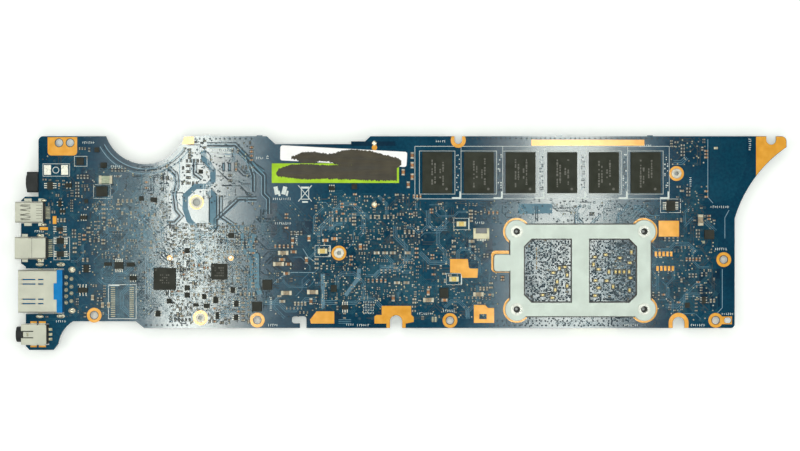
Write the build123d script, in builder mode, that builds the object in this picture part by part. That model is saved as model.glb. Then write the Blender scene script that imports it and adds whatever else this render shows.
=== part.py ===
"""Bare main circuit board of a slim laptop, with its ports, chips and heatsink backplate.

Frame: X runs along the board's length and Y across it.  +Z points out of the face that
carries the memory chips.  The origin is the middle of the footprint, on the plane that the
tallest parts of the lower face stand on.
"""
from build123d import *
import os

os.makedirs("parts", exist_ok=True)

# ---------------------------------------------------------------------------
# Driving dimensions, in millimetres
# ---------------------------------------------------------------------------
BOARD_LOW = 2.6                      # lower face of the laminate above the table
BOARD_T = 1.0                        # laminate thickness
BOARD_TOP = BOARD_LOW + BOARD_T
PLATING = 0.05                       # thickness of a bare gold-plated land

TOP_EDGE = 33.2
BOTTOM_EDGE = -26.5
LEFT_STEP = -112.9                   # left edge beside the power jack
PORT_EDGE = -118.3                   # left edge under the two video ports
USB_EDGE = -116.85                   # left edge beside the USB and audio ports
RIGHT_EDGE = 103.75
FOOT_EDGE = -33.33                   # lower edge of the audio corner

FAN_CENTRE = (-79.65, 37.45)         # fan housing that the notch goes round
FAN_R = 12.95
HOLE_R = 1.15                        # clearance for an M2 screw
RING_R = 2.3                         # bare gold round a screw hole
SCREW_HOLES = [(-95.55, -22.5), (-44.8, -24.0), (15.15, -24.15), (100.35, -5.2), (97.85, -24.1)]
PAD_HOLES = [(-106.5, 31.15), (-103.05, 31.15)]
SLOT_HOLE = (101.6, -24.1)           # short slot beside the last screw hole
SLOT_SIZE = (2.2, 1.7)

TOP_SLOT = (17.75, 31.95, 1.15)      # x, y and radius of the round-ended edge slots
TAB_SLOT = (115.13, 32.1, 1.5)
MID_SLOT = (-1.63, -24.4, 1.87)
LOW_SLOT = (86.3, -24.85, 1.8)

NUTS = [                             # x, y, shank radius, thread radius
    (-63.7, 12.65, 1.75, 1.2),
    (-62.5, -23.3, 1.4, 0.7),
    (-19.4, -3.15, 1.55, 0.7),
    (85.65, 21.6, 1.5, 0.7),
]
NUT_FLANGE_R = 2.2

PLATE_MIDDLE = (55.7, -8.55)         # heatsink backplate
PLATE_SIZE = (43.7, 28.6)
PLATE_T = 1.0
FILM_T = 0.15                        # insulating film under the backplate
LOBE_R = 3.6
STUD_SPACING = (39.6, 24.2)
STUD_R = 1.5
STUD_FLANGE_R = 1.95
STUD_BORE_R = 1.03
STUD_LOW = 1.2                       # lower end of the studs

CHIP_SIZE = (9.3, 12.8)              # memory package
CHIP_T = 1.1
CHIP_PITCH = 12.96
CHIP_FIRST_X = 11.2
CHIP_Y = 21.85
CHIP_COUNT = 6

SEAT_ROUND = 0.02                    # running clearance of a latch pin


# ---------------------------------------------------------------------------
# Helpers
# ---------------------------------------------------------------------------
def keep(piece, name):
    """Label a finished piece and write its STEP file."""
    piece.part.label = name
    export_step(piece.part, f"parts/{name}.step")


def patch(left, bottom, right, top, mode=Mode.ADD):
    """Rectangle in the current sketch, given by its edges."""
    with Locations(((left + right) / 2, (bottom + top) / 2)):
        Rectangle(right - left, top - bottom, mode=mode)


def block(x, y, z, mode=Mode.ADD):
    """Box in the current part, given by its low and high value on each axis."""
    middle = ((x[0] + x[1]) / 2, (y[0] + y[1]) / 2, (z[0] + z[1]) / 2)
    with Locations(middle):
        Box(x[1] - x[0], y[1] - y[0], z[1] - z[0], mode=mode)


def outline_points(points, mode=Mode.ADD):
    """Filled polygon in the current sketch, through points given in its own axes."""
    Polygon(*points, align=None, mode=mode)


def round_corner(sketch, x, y, radius):
    """Round the sketch's corner nearest to a point."""
    fillet(sketch.vertices().sort_by_distance((x, y, 0))[0], radius)


def edge_slot(x, y, radius, edge, mode=Mode.SUBTRACT):
    """Round-ended slot that runs from its centre out past a board edge."""
    with Locations((x, y)):
        Circle(radius, mode=mode)
    patch(x - radius, min(y, edge), x + radius, max(y, edge), mode=mode)


def stud_places():
    """Centres of the four backplate studs."""
    half_x, half_y = STUD_SPACING[0] / 2, STUD_SPACING[1] / 2
    return [
        (PLATE_MIDDLE[0] + sx * half_x, PLATE_MIDDLE[1] + sy * half_y)
        for sx in (-1, 1)
        for sy in (-1, 1)
    ]


# ---------------------------------------------------------------------------
# Laminate
# ---------------------------------------------------------------------------
USB_PINS = [(-104.3, y) for y in (-10.65, -12.65, -14.65, -16.65, -18.6)]
USB_PINS += [(-102.65, y) for y in (-11.2, -13.6, -15.7, -18.1)]
USB_LEGS = [(x, y) for y in (-6.75, -22.85) for x in (-112.5, -105.95)]
USB_LEGS += [(-102.5, -8.45), (-102.5, -21.05)]
LEG_SLOT = (1.5, 0.6)
PIN_HOLE_R = 0.3

VIDEO_CUTS = [                       # openings under the two video ports
    (PORT_EDGE - 1, 6.1, -111.2, 12.95),
    (PORT_EDGE - 1, -5.1, -110.35, 1.9),
]
USB_CUT = (USB_EDGE - 3, -22.1, -104.95, -7.95)
AUDIO_CUT = (USB_EDGE - 1, -31.75, -109.6, -25.1)


def laminate_edge():
    """Outer line of the laminate, clockwise from the upper left corner."""
    fan_left = FAN_CENTRE[0] - 12.23
    fan_low = (FAN_CENTRE[0], FAN_CENTRE[1] - FAN_R)
    fan_right = (-68.65, 30.75)
    Line((LEFT_STEP, 14.4), (LEFT_STEP, TOP_EDGE))
    Line((LEFT_STEP, TOP_EDGE), (fan_left, TOP_EDGE))
    ThreePointArc((fan_left, TOP_EDGE), fan_low, fan_right)
    Polyline(
        fan_right,
        (-67.7, TOP_EDGE),
        (-41.85, TOP_EDGE),
        (-39.2, 30.75),
        (-12.1, 30.75),
        (-9.6, TOP_EDGE),
        (119.9, TOP_EDGE),
        (119.9, 29.75),
        (119.2, 29.3),
    )
    ThreePointArc((119.2, 29.3), (109.7, 19.8), (RIGHT_EDGE, 7.6))
    Polyline(
        (RIGHT_EDGE, 7.6),
        (RIGHT_EDGE, BOTTOM_EDGE),
        (-80.0, BOTTOM_EDGE),
        (-82.6, -24.4),
        (-102.15, -24.4),
    )
    ThreePointArc((-102.15, -24.4), (-105.5, -27.8), (-106.7, -31.4))
    Polyline(
        (-106.7, -31.4),
        (-108.2, FOOT_EDGE),
        (-115.7, FOOT_EDGE),
        (USB_EDGE, -32.1),
        (USB_EDGE, -7.4),
        (PORT_EDGE, -6.4),
        (PORT_EDGE, 13.2),
        (-117.1, 14.4),
        (LEFT_STEP, 14.4),
    )


with BuildPart() as circuit_board:
    with BuildSketch(Plane.XY.offset(BOARD_LOW)) as laminate:
        with BuildLine():
            laminate_edge()
        make_face()
        for x, y, radius in [
            (LEFT_STEP, TOP_EDGE, 1.5),
            (119.9, TOP_EDGE, 1.6),
            (119.9, 29.75, 0.4),
            (RIGHT_EDGE, BOTTOM_EDGE, 1.25),
        ]:
            round_corner(laminate, x, y, radius)
        for slot, edge in [
            (TOP_SLOT, TOP_EDGE + 1),
            (TAB_SLOT, TOP_EDGE + 1),
            (MID_SLOT, BOTTOM_EDGE - 1),
            (LOW_SLOT, BOTTOM_EDGE - 1),
        ]:
            edge_slot(*slot, edge)
        patch(-34.0, -25.05, -29.5, -22.85, mode=Mode.SUBTRACT)      # keyhole pocket
        patch(-31.5, BOTTOM_EDGE - 1, -29.5, -24.0, mode=Mode.SUBTRACT)
        for x, y in [(-34.0, -22.85), (-34.0, -25.05), (-29.5, -22.85)]:
            round_corner(laminate, x, y, 0.8)
        for cut in VIDEO_CUTS + [USB_CUT, AUDIO_CUT]:
            patch(*cut, mode=Mode.SUBTRACT)
        for x in (-60.4, -44.1, 49.1, 77.4):                         # break-away nubs
            patch(x - 0.9, TOP_EDGE - 0.5, x + 0.9, TOP_EDGE + 0.3)
        with Locations(*SCREW_HOLES, *PAD_HOLES):
            Circle(HOLE_R, mode=Mode.SUBTRACT)
        with Locations(SLOT_HOLE):
            RectangleRounded(*SLOT_SIZE, 0.8, mode=Mode.SUBTRACT)
        for x, y, shank_r, _ in NUTS:
            with Locations((x, y)):
                Circle(shank_r, mode=Mode.SUBTRACT)
        with Locations(*stud_places()):
            Circle(STUD_R, mode=Mode.SUBTRACT)
        with Locations(*USB_PINS):
            Circle(PIN_HOLE_R, mode=Mode.SUBTRACT)
        with Locations(*USB_LEGS):
            RectangleRounded(*LEG_SLOT, 0.28, mode=Mode.SUBTRACT)
    extrude(amount=BOARD_T)
keep(circuit_board, "circuit_board")

# ---------------------------------------------------------------------------
# Bare gold-plated lands
# ---------------------------------------------------------------------------
GAP = 0.05                           # plating stops this far short of a slot or shank
RING_GAP = 0.2                       # and this far short of a screw hole


def edge_ring(slot, outer, low, high):
    """Gold half-ring round an edge slot, cut off between two heights across the board."""
    x, y, radius = slot
    with Locations((x, y)):
        Circle(outer)
    edge = TOP_EDGE + 1 if y > 0 else BOTTOM_EDGE - 1
    edge_slot(x, y, radius + GAP, edge)
    patch(x - outer, high, x + outer, high + outer, mode=Mode.SUBTRACT)
    patch(x - outer, low - outer, x + outer, low, mode=Mode.SUBTRACT)


def gold_rings():
    """Rings round the screw holes, nuts and backplate corners."""
    for x, y in SCREW_HOLES:
        with Locations((x, y)):
            Circle(RING_R)
            Circle(HOLE_R + RING_GAP, mode=Mode.SUBTRACT)
    for x, y, shank_r, _ in NUTS:
        with Locations((x, y)):
            Circle(2.3)
            Circle(shank_r + GAP, mode=Mode.SUBTRACT)


with BuildPart() as gold_lands:
    with BuildSketch(Plane.XY.offset(BOARD_TOP)) as lands:
        gold_rings()
        patch(99.3, -25.3, 102.9, -22.9)                             # arm to the slot hole
        with Locations(SLOT_HOLE):
            RectangleRounded(SLOT_SIZE[0] + 0.1, SLOT_SIZE[1] + 0.1, 0.8, mode=Mode.SUBTRACT)
        with Locations(SCREW_HOLES[4]):
            Circle(HOLE_R + RING_GAP, mode=Mode.SUBTRACT)
    extrude(amount=PLATING)
    with BuildSketch(Plane.XY.offset(BOARD_TOP)) as pad_sheet:
        patch(-110.05, 27.2, -100.85, 32.9)                          # two-hole pad
        for x in (-110.05, -100.85):
            round_corner(pad_sheet, x, 27.2, 1.2)
        with Locations(*PAD_HOLES):
            Circle(HOLE_R + RING_GAP, mode=Mode.SUBTRACT)
    extrude(amount=PLATING)
    with BuildSketch(Plane.XY.offset(BOARD_TOP)):
        outline_points([(-68.3, 30.7), (-64.5, 30.7), (-64.5, 33.1), (-67.5, 33.1)])
        patch(40.5, 30.25, 75.65, 32.1)                              # long grounding strip
        patch(80.1, 1.95, 86.45, 6.9)                                # square pad
        outline_points([
            (15.2, -5.0), (20.7, -5.0), (21.0, -7.5), (21.3, -7.95), (23.9, -8.0),
            (23.7, -10.85), (18.95, -10.85), (18.55, -9.45), (15.2, -9.3),
        ])
        outline_points([
            (22.6, -19.3), (26.1, -19.3), (27.0, -20.25), (28.9, -20.25), (28.9, -24.9),
            (22.6, -24.9),
        ])
        patch(24.3, -23.7, 26.55, -22.15, mode=Mode.SUBTRACT)
        outline_points([
            (-28.4, -23.85), (-26.35, -21.3), (-20.85, -21.3), (-20.85, -25.1), (-28.1, -25.1),
        ])
        for row_y, first_x in ((-3.45, 79.25), (-7.95, 79.75)):       # ten-way footprint
            with Locations(*[(first_x + 1.19 * i, row_y) for i in range(5)]):
                Rectangle(0.75, 1.5)
        with Locations((-8.35, 30.95 - 1.3), (-8.35, 11.9), (-72.05, -4.7), (-53.0, -4.7)):
            Circle(0.85)                                             # round test pads
        patch(-112.5, 4.0, -109.95, 4.9)
        patch(-108.45, 5.9, -107.3, 8.35)
        for y in (-25.05, -32.45):                                   # audio jack shell pads
            patch(-115.4, y, -113.4, y + 0.65)
            patch(-112.8, y, -110.6, y + 0.65)
    extrude(amount=PLATING)
    with BuildSketch(Plane.XY.offset(BOARD_TOP)):
        outline_points([                                             # lobed pad, middle slot
            (-6.1, -19.6), (3.1, -19.6), (3.1, -22.4), (3.9, -23.1), (3.9, -24.6),
            (1.35, -25.1), (1.35, -26.45), (-4.6, -26.45), (-4.6, -25.1), (-8.35, -25.1),
            (-8.35, -22.9), (-7.7, -22.4), (-6.1, -22.4),
        ])
        edge_slot(MID_SLOT[0], MID_SLOT[1], MID_SLOT[2] + GAP, BOTTOM_EDGE - 1)
    extrude(amount=PLATING)
    with BuildSketch(Plane.XY.offset(BOARD_TOP)):
        edge_ring(TOP_SLOT, 2.35, 25.0, TOP_EDGE - 0.05)
    extrude(amount=PLATING)
    with BuildSketch(Plane.XY.offset(BOARD_TOP)):
        edge_ring(LOW_SLOT, 3.1, BOTTOM_EDGE + 0.05, -20.0)
        for side in (-1, 1):                                         # legs of the ring
            x = LOW_SLOT[0] + side * 2.5
            patch(x - 0.6, BOTTOM_EDGE + 0.05, x + 0.6, LOW_SLOT[1])
    extrude(amount=PLATING)
    with BuildSketch(Plane.XY.offset(BOARD_TOP)) as tab_land:
        with BuildLine():
            Polyline(
                (119.2, 29.4), (119.8, 29.8), (119.8, 33.1), (110.4, 33.1), (110.4, 20.85)
            )
            ThreePointArc((110.4, 20.85), (114.6, 25.66), (119.2, 29.4))
        make_face()
        round_corner(tab_land, 119.8, 33.1, 1.5)
        edge_slot(TAB_SLOT[0], TAB_SLOT[1], TAB_SLOT[2] + GAP, TOP_EDGE + 1)
    extrude(amount=PLATING)
    with BuildSketch(Plane.XY.offset(BOARD_TOP)) as plate_land:
        with Locations(*stud_places()):
            Circle(LOBE_R + 0.62)
        patch(28.0, -9.2, 34.5, -2.4)
        for y in (-9.2, -2.4):
            round_corner(plate_land, 28.0, y, 1.4)
        with Locations(*stud_places()):
            Circle(STUD_R + GAP, mode=Mode.SUBTRACT)
    extrude(amount=PLATING)
    with BuildSketch(Plane.XY.offset(BOARD_LOW - PLATING)):
        with Locations(*SCREW_HOLES):
            Circle(RING_R)
            Circle(HOLE_R + RING_GAP, mode=Mode.SUBTRACT)
    extrude(amount=PLATING)
keep(gold_lands, "gold_lands")

# ---------------------------------------------------------------------------
# Heatsink backplate, its insulating film and its four studs
# ---------------------------------------------------------------------------
PLATE_LOW = BOARD_TOP + PLATING + FILM_T
LEFT_WINDOW = (38.1, -18.6, 53.05, 1.35)
RIGHT_WINDOW = (58.35, -18.6, 73.3, 1.35)
WINDOW_BEVEL = 2.4


def window(left, bottom, right, top, bevel_left, grow):
    """Backplate window with two bevelled corners on one side, two small rounds on the other."""
    left, bottom, right, top = left + grow, bottom + grow, right - grow, top - grow
    bevel = WINDOW_BEVEL
    if bevel_left:
        corners = [
            (left, bottom + bevel), (left + bevel, bottom), (right, bottom),
            (right, top), (left + bevel, top), (left, top - bevel),
        ]
    else:
        corners = [
            (left, bottom), (right - bevel, bottom), (right, bottom + bevel),
            (right, top - bevel), (right - bevel, top), (left, top),
        ]
    outline_points(corners, mode=Mode.SUBTRACT)


def plate_face(grow, lobe_r, hole_r):
    """Flat shape shared by the backplate and its film; grow widens it and narrows its windows."""
    half_x = PLATE_SIZE[0] / 2 + grow
    half_y = PLATE_SIZE[1] / 2 + grow
    mid_x, mid_y = PLATE_MIDDLE
    patch(mid_x - half_x, mid_y - half_y, mid_x + half_x, mid_y + half_y)
    with Locations(*stud_places()):
        Circle(lobe_r)
    with Locations((31.5, -6.2)):
        RectangleRounded(5.4 + grow, 5.3 + grow, 0.95)
    window(*LEFT_WINDOW, True, grow)
    window(*RIGHT_WINDOW, False, grow)
    with Locations(*stud_places()):
        Circle(hole_r, mode=Mode.SUBTRACT)


with BuildPart() as backplate:
    with BuildSketch(Plane.XY.offset(PLATE_LOW)):
        plate_face(0, LOBE_R, STUD_R)
    extrude(amount=PLATE_T)
    chamfer(backplate.faces().sort_by(Axis.Z)[-1].outer_wire().edges(), 0.12)
keep(backplate, "backplate")

with BuildPart() as backplate_film:
    with BuildSketch(Plane.XY.offset(BOARD_TOP + PLATING)):
        plate_face(0.3, LOBE_R, STUD_R)
    extrude(amount=FILM_T)
keep(backplate_film, "backplate_film")

with BuildPart() as backplate_studs:
    with BuildSketch(Plane.XY.offset(STUD_LOW)):
        with Locations(*stud_places()):
            Circle(STUD_R)
            Circle(STUD_BORE_R, mode=Mode.SUBTRACT)
    extrude(amount=PLATE_LOW + PLATE_T - STUD_LOW)
    with BuildSketch(Plane.XY.offset(PLATE_LOW + PLATE_T)):
        with Locations(*stud_places()):
            Circle(STUD_FLANGE_R)
            Circle(STUD_BORE_R, mode=Mode.SUBTRACT)
    extrude(amount=0.3)
keep(backplate_studs, "backplate_studs")

with BuildPart() as solder_nuts:
    for x, y, shank_r, thread_r in NUTS:
        with BuildSketch(Plane.XY.offset(BOARD_LOW)):
            with Locations((x, y)):
                Circle(shank_r)
        extrude(amount=BOARD_T + 0.25)
        with BuildSketch(Plane.XY.offset(1.2)):
            with Locations((x, y)):
                Circle(NUT_FLANGE_R)
        extrude(amount=BOARD_LOW - 1.2)
        with BuildSketch(Plane.XY.offset(1.2)):
            with Locations((x, y)):
                Circle(thread_r)
        extrude(amount=BOARD_TOP, mode=Mode.SUBTRACT)
keep(solder_nuts, "solder_nuts")


# ---------------------------------------------------------------------------
# Moulded packages on the upper face
# ---------------------------------------------------------------------------
def packages(places, draft=5):
    """Moulded packages in the current part: each has x, y, width, depth and height."""
    for x, y, width, depth, height in places:
        with BuildSketch(Plane.XY.offset(BOARD_TOP)) as profile:
            with Locations((x, y)):
                Rectangle(width, depth)
        extrude(profile.sketch, amount=height, taper=draft)


def packages_below(places, draft=5):
    """The same on the lower face, growing downwards."""
    for x, y, width, depth, height in places:
        with BuildSketch(Plane(origin=(0, 0, BOARD_LOW), x_dir=(1, 0, 0), z_dir=(0, 0, -1))) as profile:
            with Locations((x, -y)):
                Rectangle(width, depth)
        extrude(profile.sketch, amount=height, taper=draft)


def chip_xs():
    """X of each memory package's middle."""
    return [CHIP_FIRST_X + CHIP_PITCH * i for i in range(CHIP_COUNT)]


with BuildPart() as memory_chips:
    packages([(x, CHIP_Y, *CHIP_SIZE, CHIP_T) for x in chip_xs()], draft=2)
keep(memory_chips, "memory_chips")

with BuildPart() as system_controller:
    packages([(-73.55, -11.2, 6.9, 6.9, 0.9)], draft=2)
keep(system_controller, "system_controller")

with BuildPart() as charge_controller:
    packages([(-56.6, -8.95, 5.1, 5.0, 0.9)], draft=2)
keep(charge_controller, "charge_controller")

POWER_MOSFETS = [
    (-41.7, -13.05, 3.1, 3.2, 0.95),
    (-44.9, -19.8, 3.1, 3.1, 0.95),
    (95.8, 2.6, 3.1, 2.9, 0.95),
    (13.3, -15.55, 2.8, 3.0, 0.95),
    (-93.1, 16.0, 3.5, 3.2, 1.0),
]
with BuildPart() as power_mosfets:
    packages(POWER_MOSFETS)
keep(power_mosfets, "power_mosfets")

GULL_CHIPS = [                        # x, y, width, depth, leads a side, pitch, leads along x
    (-106.2, 4.3, 2.1, 1.0, 3, 0.7, False),
    (-106.0, 0.6, 2.3, 1.7, 4, 0.5, False),
    (-106.0, -3.45, 2.3, 1.7, 4, 0.5, False),
    (-87.8, -7.0, 2.75, 2.2, 4, 0.65, True),
    (-99.0, -14.7, 2.9, 1.6, 3, 0.95, True),
    (83.8, 11.55, 2.8, 3.2, 5, 0.5, False),
    (-109.2, 17.8, 1.8, 2.4, 3, 0.65, False),
    (-17.5, -20.0, 2.0, 1.4, 3, 0.7, True),
]
GULL_H = 0.85
LEAD_W = 0.24


def lead_places(chip):
    """Position and heading of every lead on one gull-wing package."""
    x, y, width, depth, count, pitch, along_x = chip
    reach = (depth if along_x else width) / 2
    places = []
    for i in range(count):
        shift = (i - (count - 1) / 2) * pitch
        if along_x:
            places.append(Location((x + shift, y + reach, BOARD_TOP), (0, 0, 90)))
            places.append(Location((x + shift, y - reach, BOARD_TOP), (0, 0, -90)))
        else:
            places.append(Location((x + reach, y + shift, BOARD_TOP), (0, 0, 0)))
            places.append(Location((x - reach, y + shift, BOARD_TOP), (0, 0, 180)))
    return places


with BuildPart() as gull_packages:
    for chip in GULL_CHIPS:
        with BuildSketch(Plane.XY.offset(BOARD_TOP + 0.05)):
            with Locations((chip[0], chip[1])):
                Rectangle(chip[2], chip[3])
        extrude(amount=GULL_H)
keep(gull_packages, "gull_packages")

with BuildPart() as one_lead:
    with BuildSketch(Plane.XZ):
        outline_points([
            (0, 0.38), (0.3, 0.38), (0.42, 0), (1.0, 0), (1.0, 0.12), (0.52, 0.12),
            (0.4, 0.5), (0, 0.5),
        ])
    extrude(amount=LEAD_W / 2, both=True)

with BuildPart() as gull_leads:
    with Locations(*[place for chip in GULL_CHIPS for place in lead_places(chip)]):
        add(one_lead.part)
keep(gull_leads, "gull_leads")

LEADLESS_CHIPS = [
    (-99.9, 25.4, 2.3, 2.3, 0.75),
    (-94.7, 28.95, 1.5, 1.5, 0.6),
    (-92.6, 24.15, 2.0, 1.7, 0.6),
    (-80.85, 13.8, 1.5, 1.4, 0.6),
    (-77.0, 13.4, 2.1, 1.5, 0.7),
    (-91.25, -6.6, 2.4, 1.1, 0.6),
    (-84.2, -6.75, 2.6, 1.3, 0.6),
    (-66.6, -2.4, 1.6, 1.6, 0.6),
    (-52.8, 2.3, 1.7, 1.7, 0.6),
    (-21.0, -14.2, 1.9, 2.2, 0.6),
    (-14.6, 17.5, 1.7, 1.6, 0.6),
    (89.0, -19.4, 1.5, 1.6, 0.6),
]
with BuildPart() as leadless_packages:
    packages(LEADLESS_CHIPS)
keep(leadless_packages, "leadless_packages")

with BuildPart() as input_choke:
    packages([(-91.85, 19.65, 2.5, 2.3, 1.5)], draft=0)
keep(input_choke, "input_choke")
with BuildPart() as input_choke_caps:
    packages([(-93.5, 19.65, 0.8, 2.5, 1.6), (-90.2, 19.65, 0.8, 2.5, 1.6)], draft=0)
keep(input_choke_caps, "input_choke_caps")

# ---------------------------------------------------------------------------
# Larger chip capacitors: ceramic middle, metal ends
# ---------------------------------------------------------------------------
CAPACITORS = [                        # x, y, length, width, height, runs along x
    (-36.7, -3.1, 3.2, 1.25, 1.1, True),
    (-38.15, -6.55, 3.4, 1.25, 1.1, True),
    (-35.7, -15.55, 3.3, 1.3, 1.1, True),
    (-27.55, -15.3, 3.4, 1.3, 1.1, True),
    (24.0, -16.0, 3.2, 1.3, 1.1, True),
    (8.45, -17.75, 3.3, 1.3, 1.1, True),
    (93.05, 7.1, 3.4, 1.6, 1.2, False),
    (-96.0, -17.0, 1.6, 0.85, 0.8, False),
    (-92.9, -19.3, 1.6, 0.85, 0.8, False),
    (-91.0, -19.3, 1.6, 0.85, 0.8, False),
]
END_PART = 0.22                       # share of the length that each metal end takes


def capacitor_cells(ends):
    """Blocks for every capacitor's ceramic middle, or for its two metal ends."""
    for x, y, length, width, height, along_x in CAPACITORS:
        end = length * END_PART
        if ends:
            spans = [(-length / 2, -length / 2 + end), (length / 2 - end, length / 2)]
            low, rise, side = 0, height, width / 2
        else:
            spans = [(-length / 2 + end, length / 2 - end)]
            low, rise, side = 0.04, height - 0.04, width / 2 - 0.04
        for start, stop in spans:
            z = (BOARD_TOP + low, BOARD_TOP + rise)
            if along_x:
                block((x + start, x + stop), (y - side, y + side), z)
            else:
                block((x - side, x + side), (y + start, y + stop), z)


with BuildPart() as capacitor_bodies:
    capacitor_cells(ends=False)
keep(capacitor_bodies, "capacitor_bodies")
with BuildPart() as capacitor_ends:
    capacitor_cells(ends=True)
keep(capacitor_ends, "capacitor_ends")

# ---------------------------------------------------------------------------
# Indicator lamps: pale lens on a two-ended base
# ---------------------------------------------------------------------------
LAMPS = [(-24.5, -2.55), (18.7, 5.9), (16.4, -11.25)]
LAMP_SIZE = (2.9, 1.5)

with BuildPart() as lamp_lenses:
    for x, y in LAMPS:
        block((x - 0.75, x + 0.75), (y - 0.65, y + 0.65), (BOARD_TOP + 0.3, BOARD_TOP + 0.85))
keep(lamp_lenses, "lamp_lenses")
with BuildPart() as lamp_bases:
    for x, y in LAMPS:
        half_x, half_y = LAMP_SIZE[0] / 2, LAMP_SIZE[1] / 2
        block((x - half_x, x + half_x), (y - half_y, y + half_y), (BOARD_TOP, BOARD_TOP + 0.3))
keep(lamp_bases, "lamp_bases")


# ---------------------------------------------------------------------------
# Flat-cable sockets with flip latches
# ---------------------------------------------------------------------------
CELL_PITCH = 0.5
CHEEK = 0.7                           # width of each end cheek
PIVOT_V = 0.35                        # latch pivot behind the hood, and its height
PIVOT_W = 0.62
LATCH_T = 0.44
PIN_R = 0.15


def side_plane(seat):
    """Plane across a socket: its x is the socket's depth, its y is height above the seat."""
    return Plane(origin=seat.origin, x_dir=seat.y_dir, z_dir=seat.x_dir)


def socket_contacts(seat, cells):
    """Contacts of one socket, each a foot behind the hood and a finger under the latch."""
    side = side_plane(seat)
    shifts = [(i - (cells - 1) / 2) * CELL_PITCH for i in range(cells)]
    with BuildSketch(*[side.offset(shift) for shift in shifts]) as profile:
        outline_points([
            (-2.2, 0), (-1.45, 0), (-1.45, 0.3), (1.3, 0.3), (1.3, 0.36),
            (-1.6, 0.36), (-1.6, 0.15), (-2.2, 0.15),
        ])
    extrude(profile.sketch, amount=0.1, both=True)


def socket_housing(seat, cells, contacts):
    """Moulded housing of one socket: rear hood, floor, end cheeks and the pivot holes."""
    length = cells * CELL_PITCH + 2 * CHEEK + 0.5
    side = side_plane(seat)
    with BuildSketch(side) as profile:
        outline_points([
            (-1.6, 0), (1.7, 0), (1.7, 0.3), (0, 0.3), (0, 1.0), (-1.3, 1.0), (-1.6, 0.75),
        ])
    extrude(profile.sketch, amount=length / 2, both=True)
    cheek_middle = (length - CHEEK) / 2
    with BuildSketch(side.offset(-cheek_middle), side.offset(cheek_middle)) as profile:
        outline_points([(0, 0), (1.3, 0), (1.3, 0.7), (1.0, 1.0), (0, 1.0)])
    extrude(profile.sketch, amount=CHEEK / 2, both=True)
    with BuildSketch(side) as profile:
        with Locations((PIVOT_V, PIVOT_W)):
            Circle(PIN_R + SEAT_ROUND)
    extrude(profile.sketch, amount=length / 2 - 0.2, both=True, mode=Mode.SUBTRACT)
    add(contacts, mode=Mode.SUBTRACT)


def socket_latch(seat, cells):
    """Flip latch of one socket, lying closed, with a round pin at each end."""
    length = cells * CELL_PITCH + 2 * CHEEK + 0.5
    side = side_plane(seat)
    half_t = LATCH_T / 2
    with BuildSketch(side) as profile:
        with Locations((PIVOT_V, PIVOT_W)):
            Circle(half_t)
        patch(PIVOT_V, PIVOT_W - half_t, 1.75, PIVOT_W + half_t)
    extrude(profile.sketch, amount=length / 2 - CHEEK - 0.06, both=True)
    with BuildSketch(side) as profile:
        with Locations((PIVOT_V, PIVOT_W)):
            Circle(PIN_R)
    extrude(profile.sketch, amount=length / 2 - 0.26, both=True)


def seat_above(x, y):
    """Seat on the upper face, with the contact row along x and the cable entry at +y."""
    return Plane(origin=(x, y, BOARD_TOP), x_dir=(1, 0, 0), z_dir=(0, 0, 1))


def seat_below(x, y, row=(1, 0, 0)):
    """Seat on the lower face; row is the direction of the contact row."""
    return Plane(origin=(x, y, BOARD_LOW), x_dir=row, z_dir=(0, 0, -1))


SENSOR_SEAT = (seat_above(24.9, 2.85), 6)        # seat and number of contacts
LOWER_SEATS = {
    "keyboard_socket": (seat_below(-18.0, -18.6), 34),
    "touchpad_socket": (seat_below(22.0, -17.0), 12),
    "io_board_socket": (seat_below(97.0, 18.5, row=(0, 1, 0)), 20),
}

with BuildPart() as sensor_socket_contacts:
    socket_contacts(*SENSOR_SEAT)
keep(sensor_socket_contacts, "sensor_socket_contacts")

with BuildPart() as lower_socket_contacts:
    for seat, cells in LOWER_SEATS.values():
        socket_contacts(seat, cells)
keep(lower_socket_contacts, "lower_socket_contacts")

socket_groups = {"sensor_socket": (SENSOR_SEAT, sensor_socket_contacts)}
for name, seat_and_cells in LOWER_SEATS.items():
    socket_groups[name] = (seat_and_cells, lower_socket_contacts)
for name, ((seat, cells), contacts) in socket_groups.items():
    with BuildPart() as housing:
        socket_housing(seat, cells, contacts.part)
    keep(housing, name + "_housing")
    with BuildPart() as latch:
        socket_latch(seat, cells)
    keep(latch, name + "_latch")
    print(name, "pivot", side_plane(seat).from_local_coords(Vector(PIVOT_V, PIVOT_W, 0)))

# ---------------------------------------------------------------------------
# Left-edge ports
# ---------------------------------------------------------------------------
USB_X = (-118.9, -106.95)             # shell mouth and back
USB_Y = (-21.65, -8.45)
USB_Z = (0.0, 5.7)
SHELL_T = 0.3
STRAP_Z = (1.9, 2.2)                 # height of the shell's side straps
USB_SPRINGS = (-11.35, -12.75, -17.45, -18.85)   # y of the cuts beside the two springs


def sleeve(x, y, z, wall):
    """Folded sheet sleeve in the current part, open at both ends."""
    size = (y[1] - y[0], z[1] - z[0])
    middle = ((y[0] + y[1]) / 2, (z[0] + z[1]) / 2)
    with BuildSketch(Plane.YZ.offset(x[0])) as profile:
        with Locations(middle):
            RectangleRounded(*size, 0.5)
            RectangleRounded(size[0] - 2 * wall, size[1] - 2 * wall, 0.22, mode=Mode.SUBTRACT)
    extrude(profile.sketch, amount=x[1] - x[0])


def solder_tabs(spans, y):
    """Feet of a port's sleeve that rest on the board; spans are their low and high x."""
    for x0, x1 in spans:
        for edge, side in ((y[1], 1), (y[0], -1)):
            near, far = sorted((edge - side * 0.1, edge + side * 1.0))
            block((x0, x1), (near, far), (BOARD_TOP, BOARD_TOP + 0.2))


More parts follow.
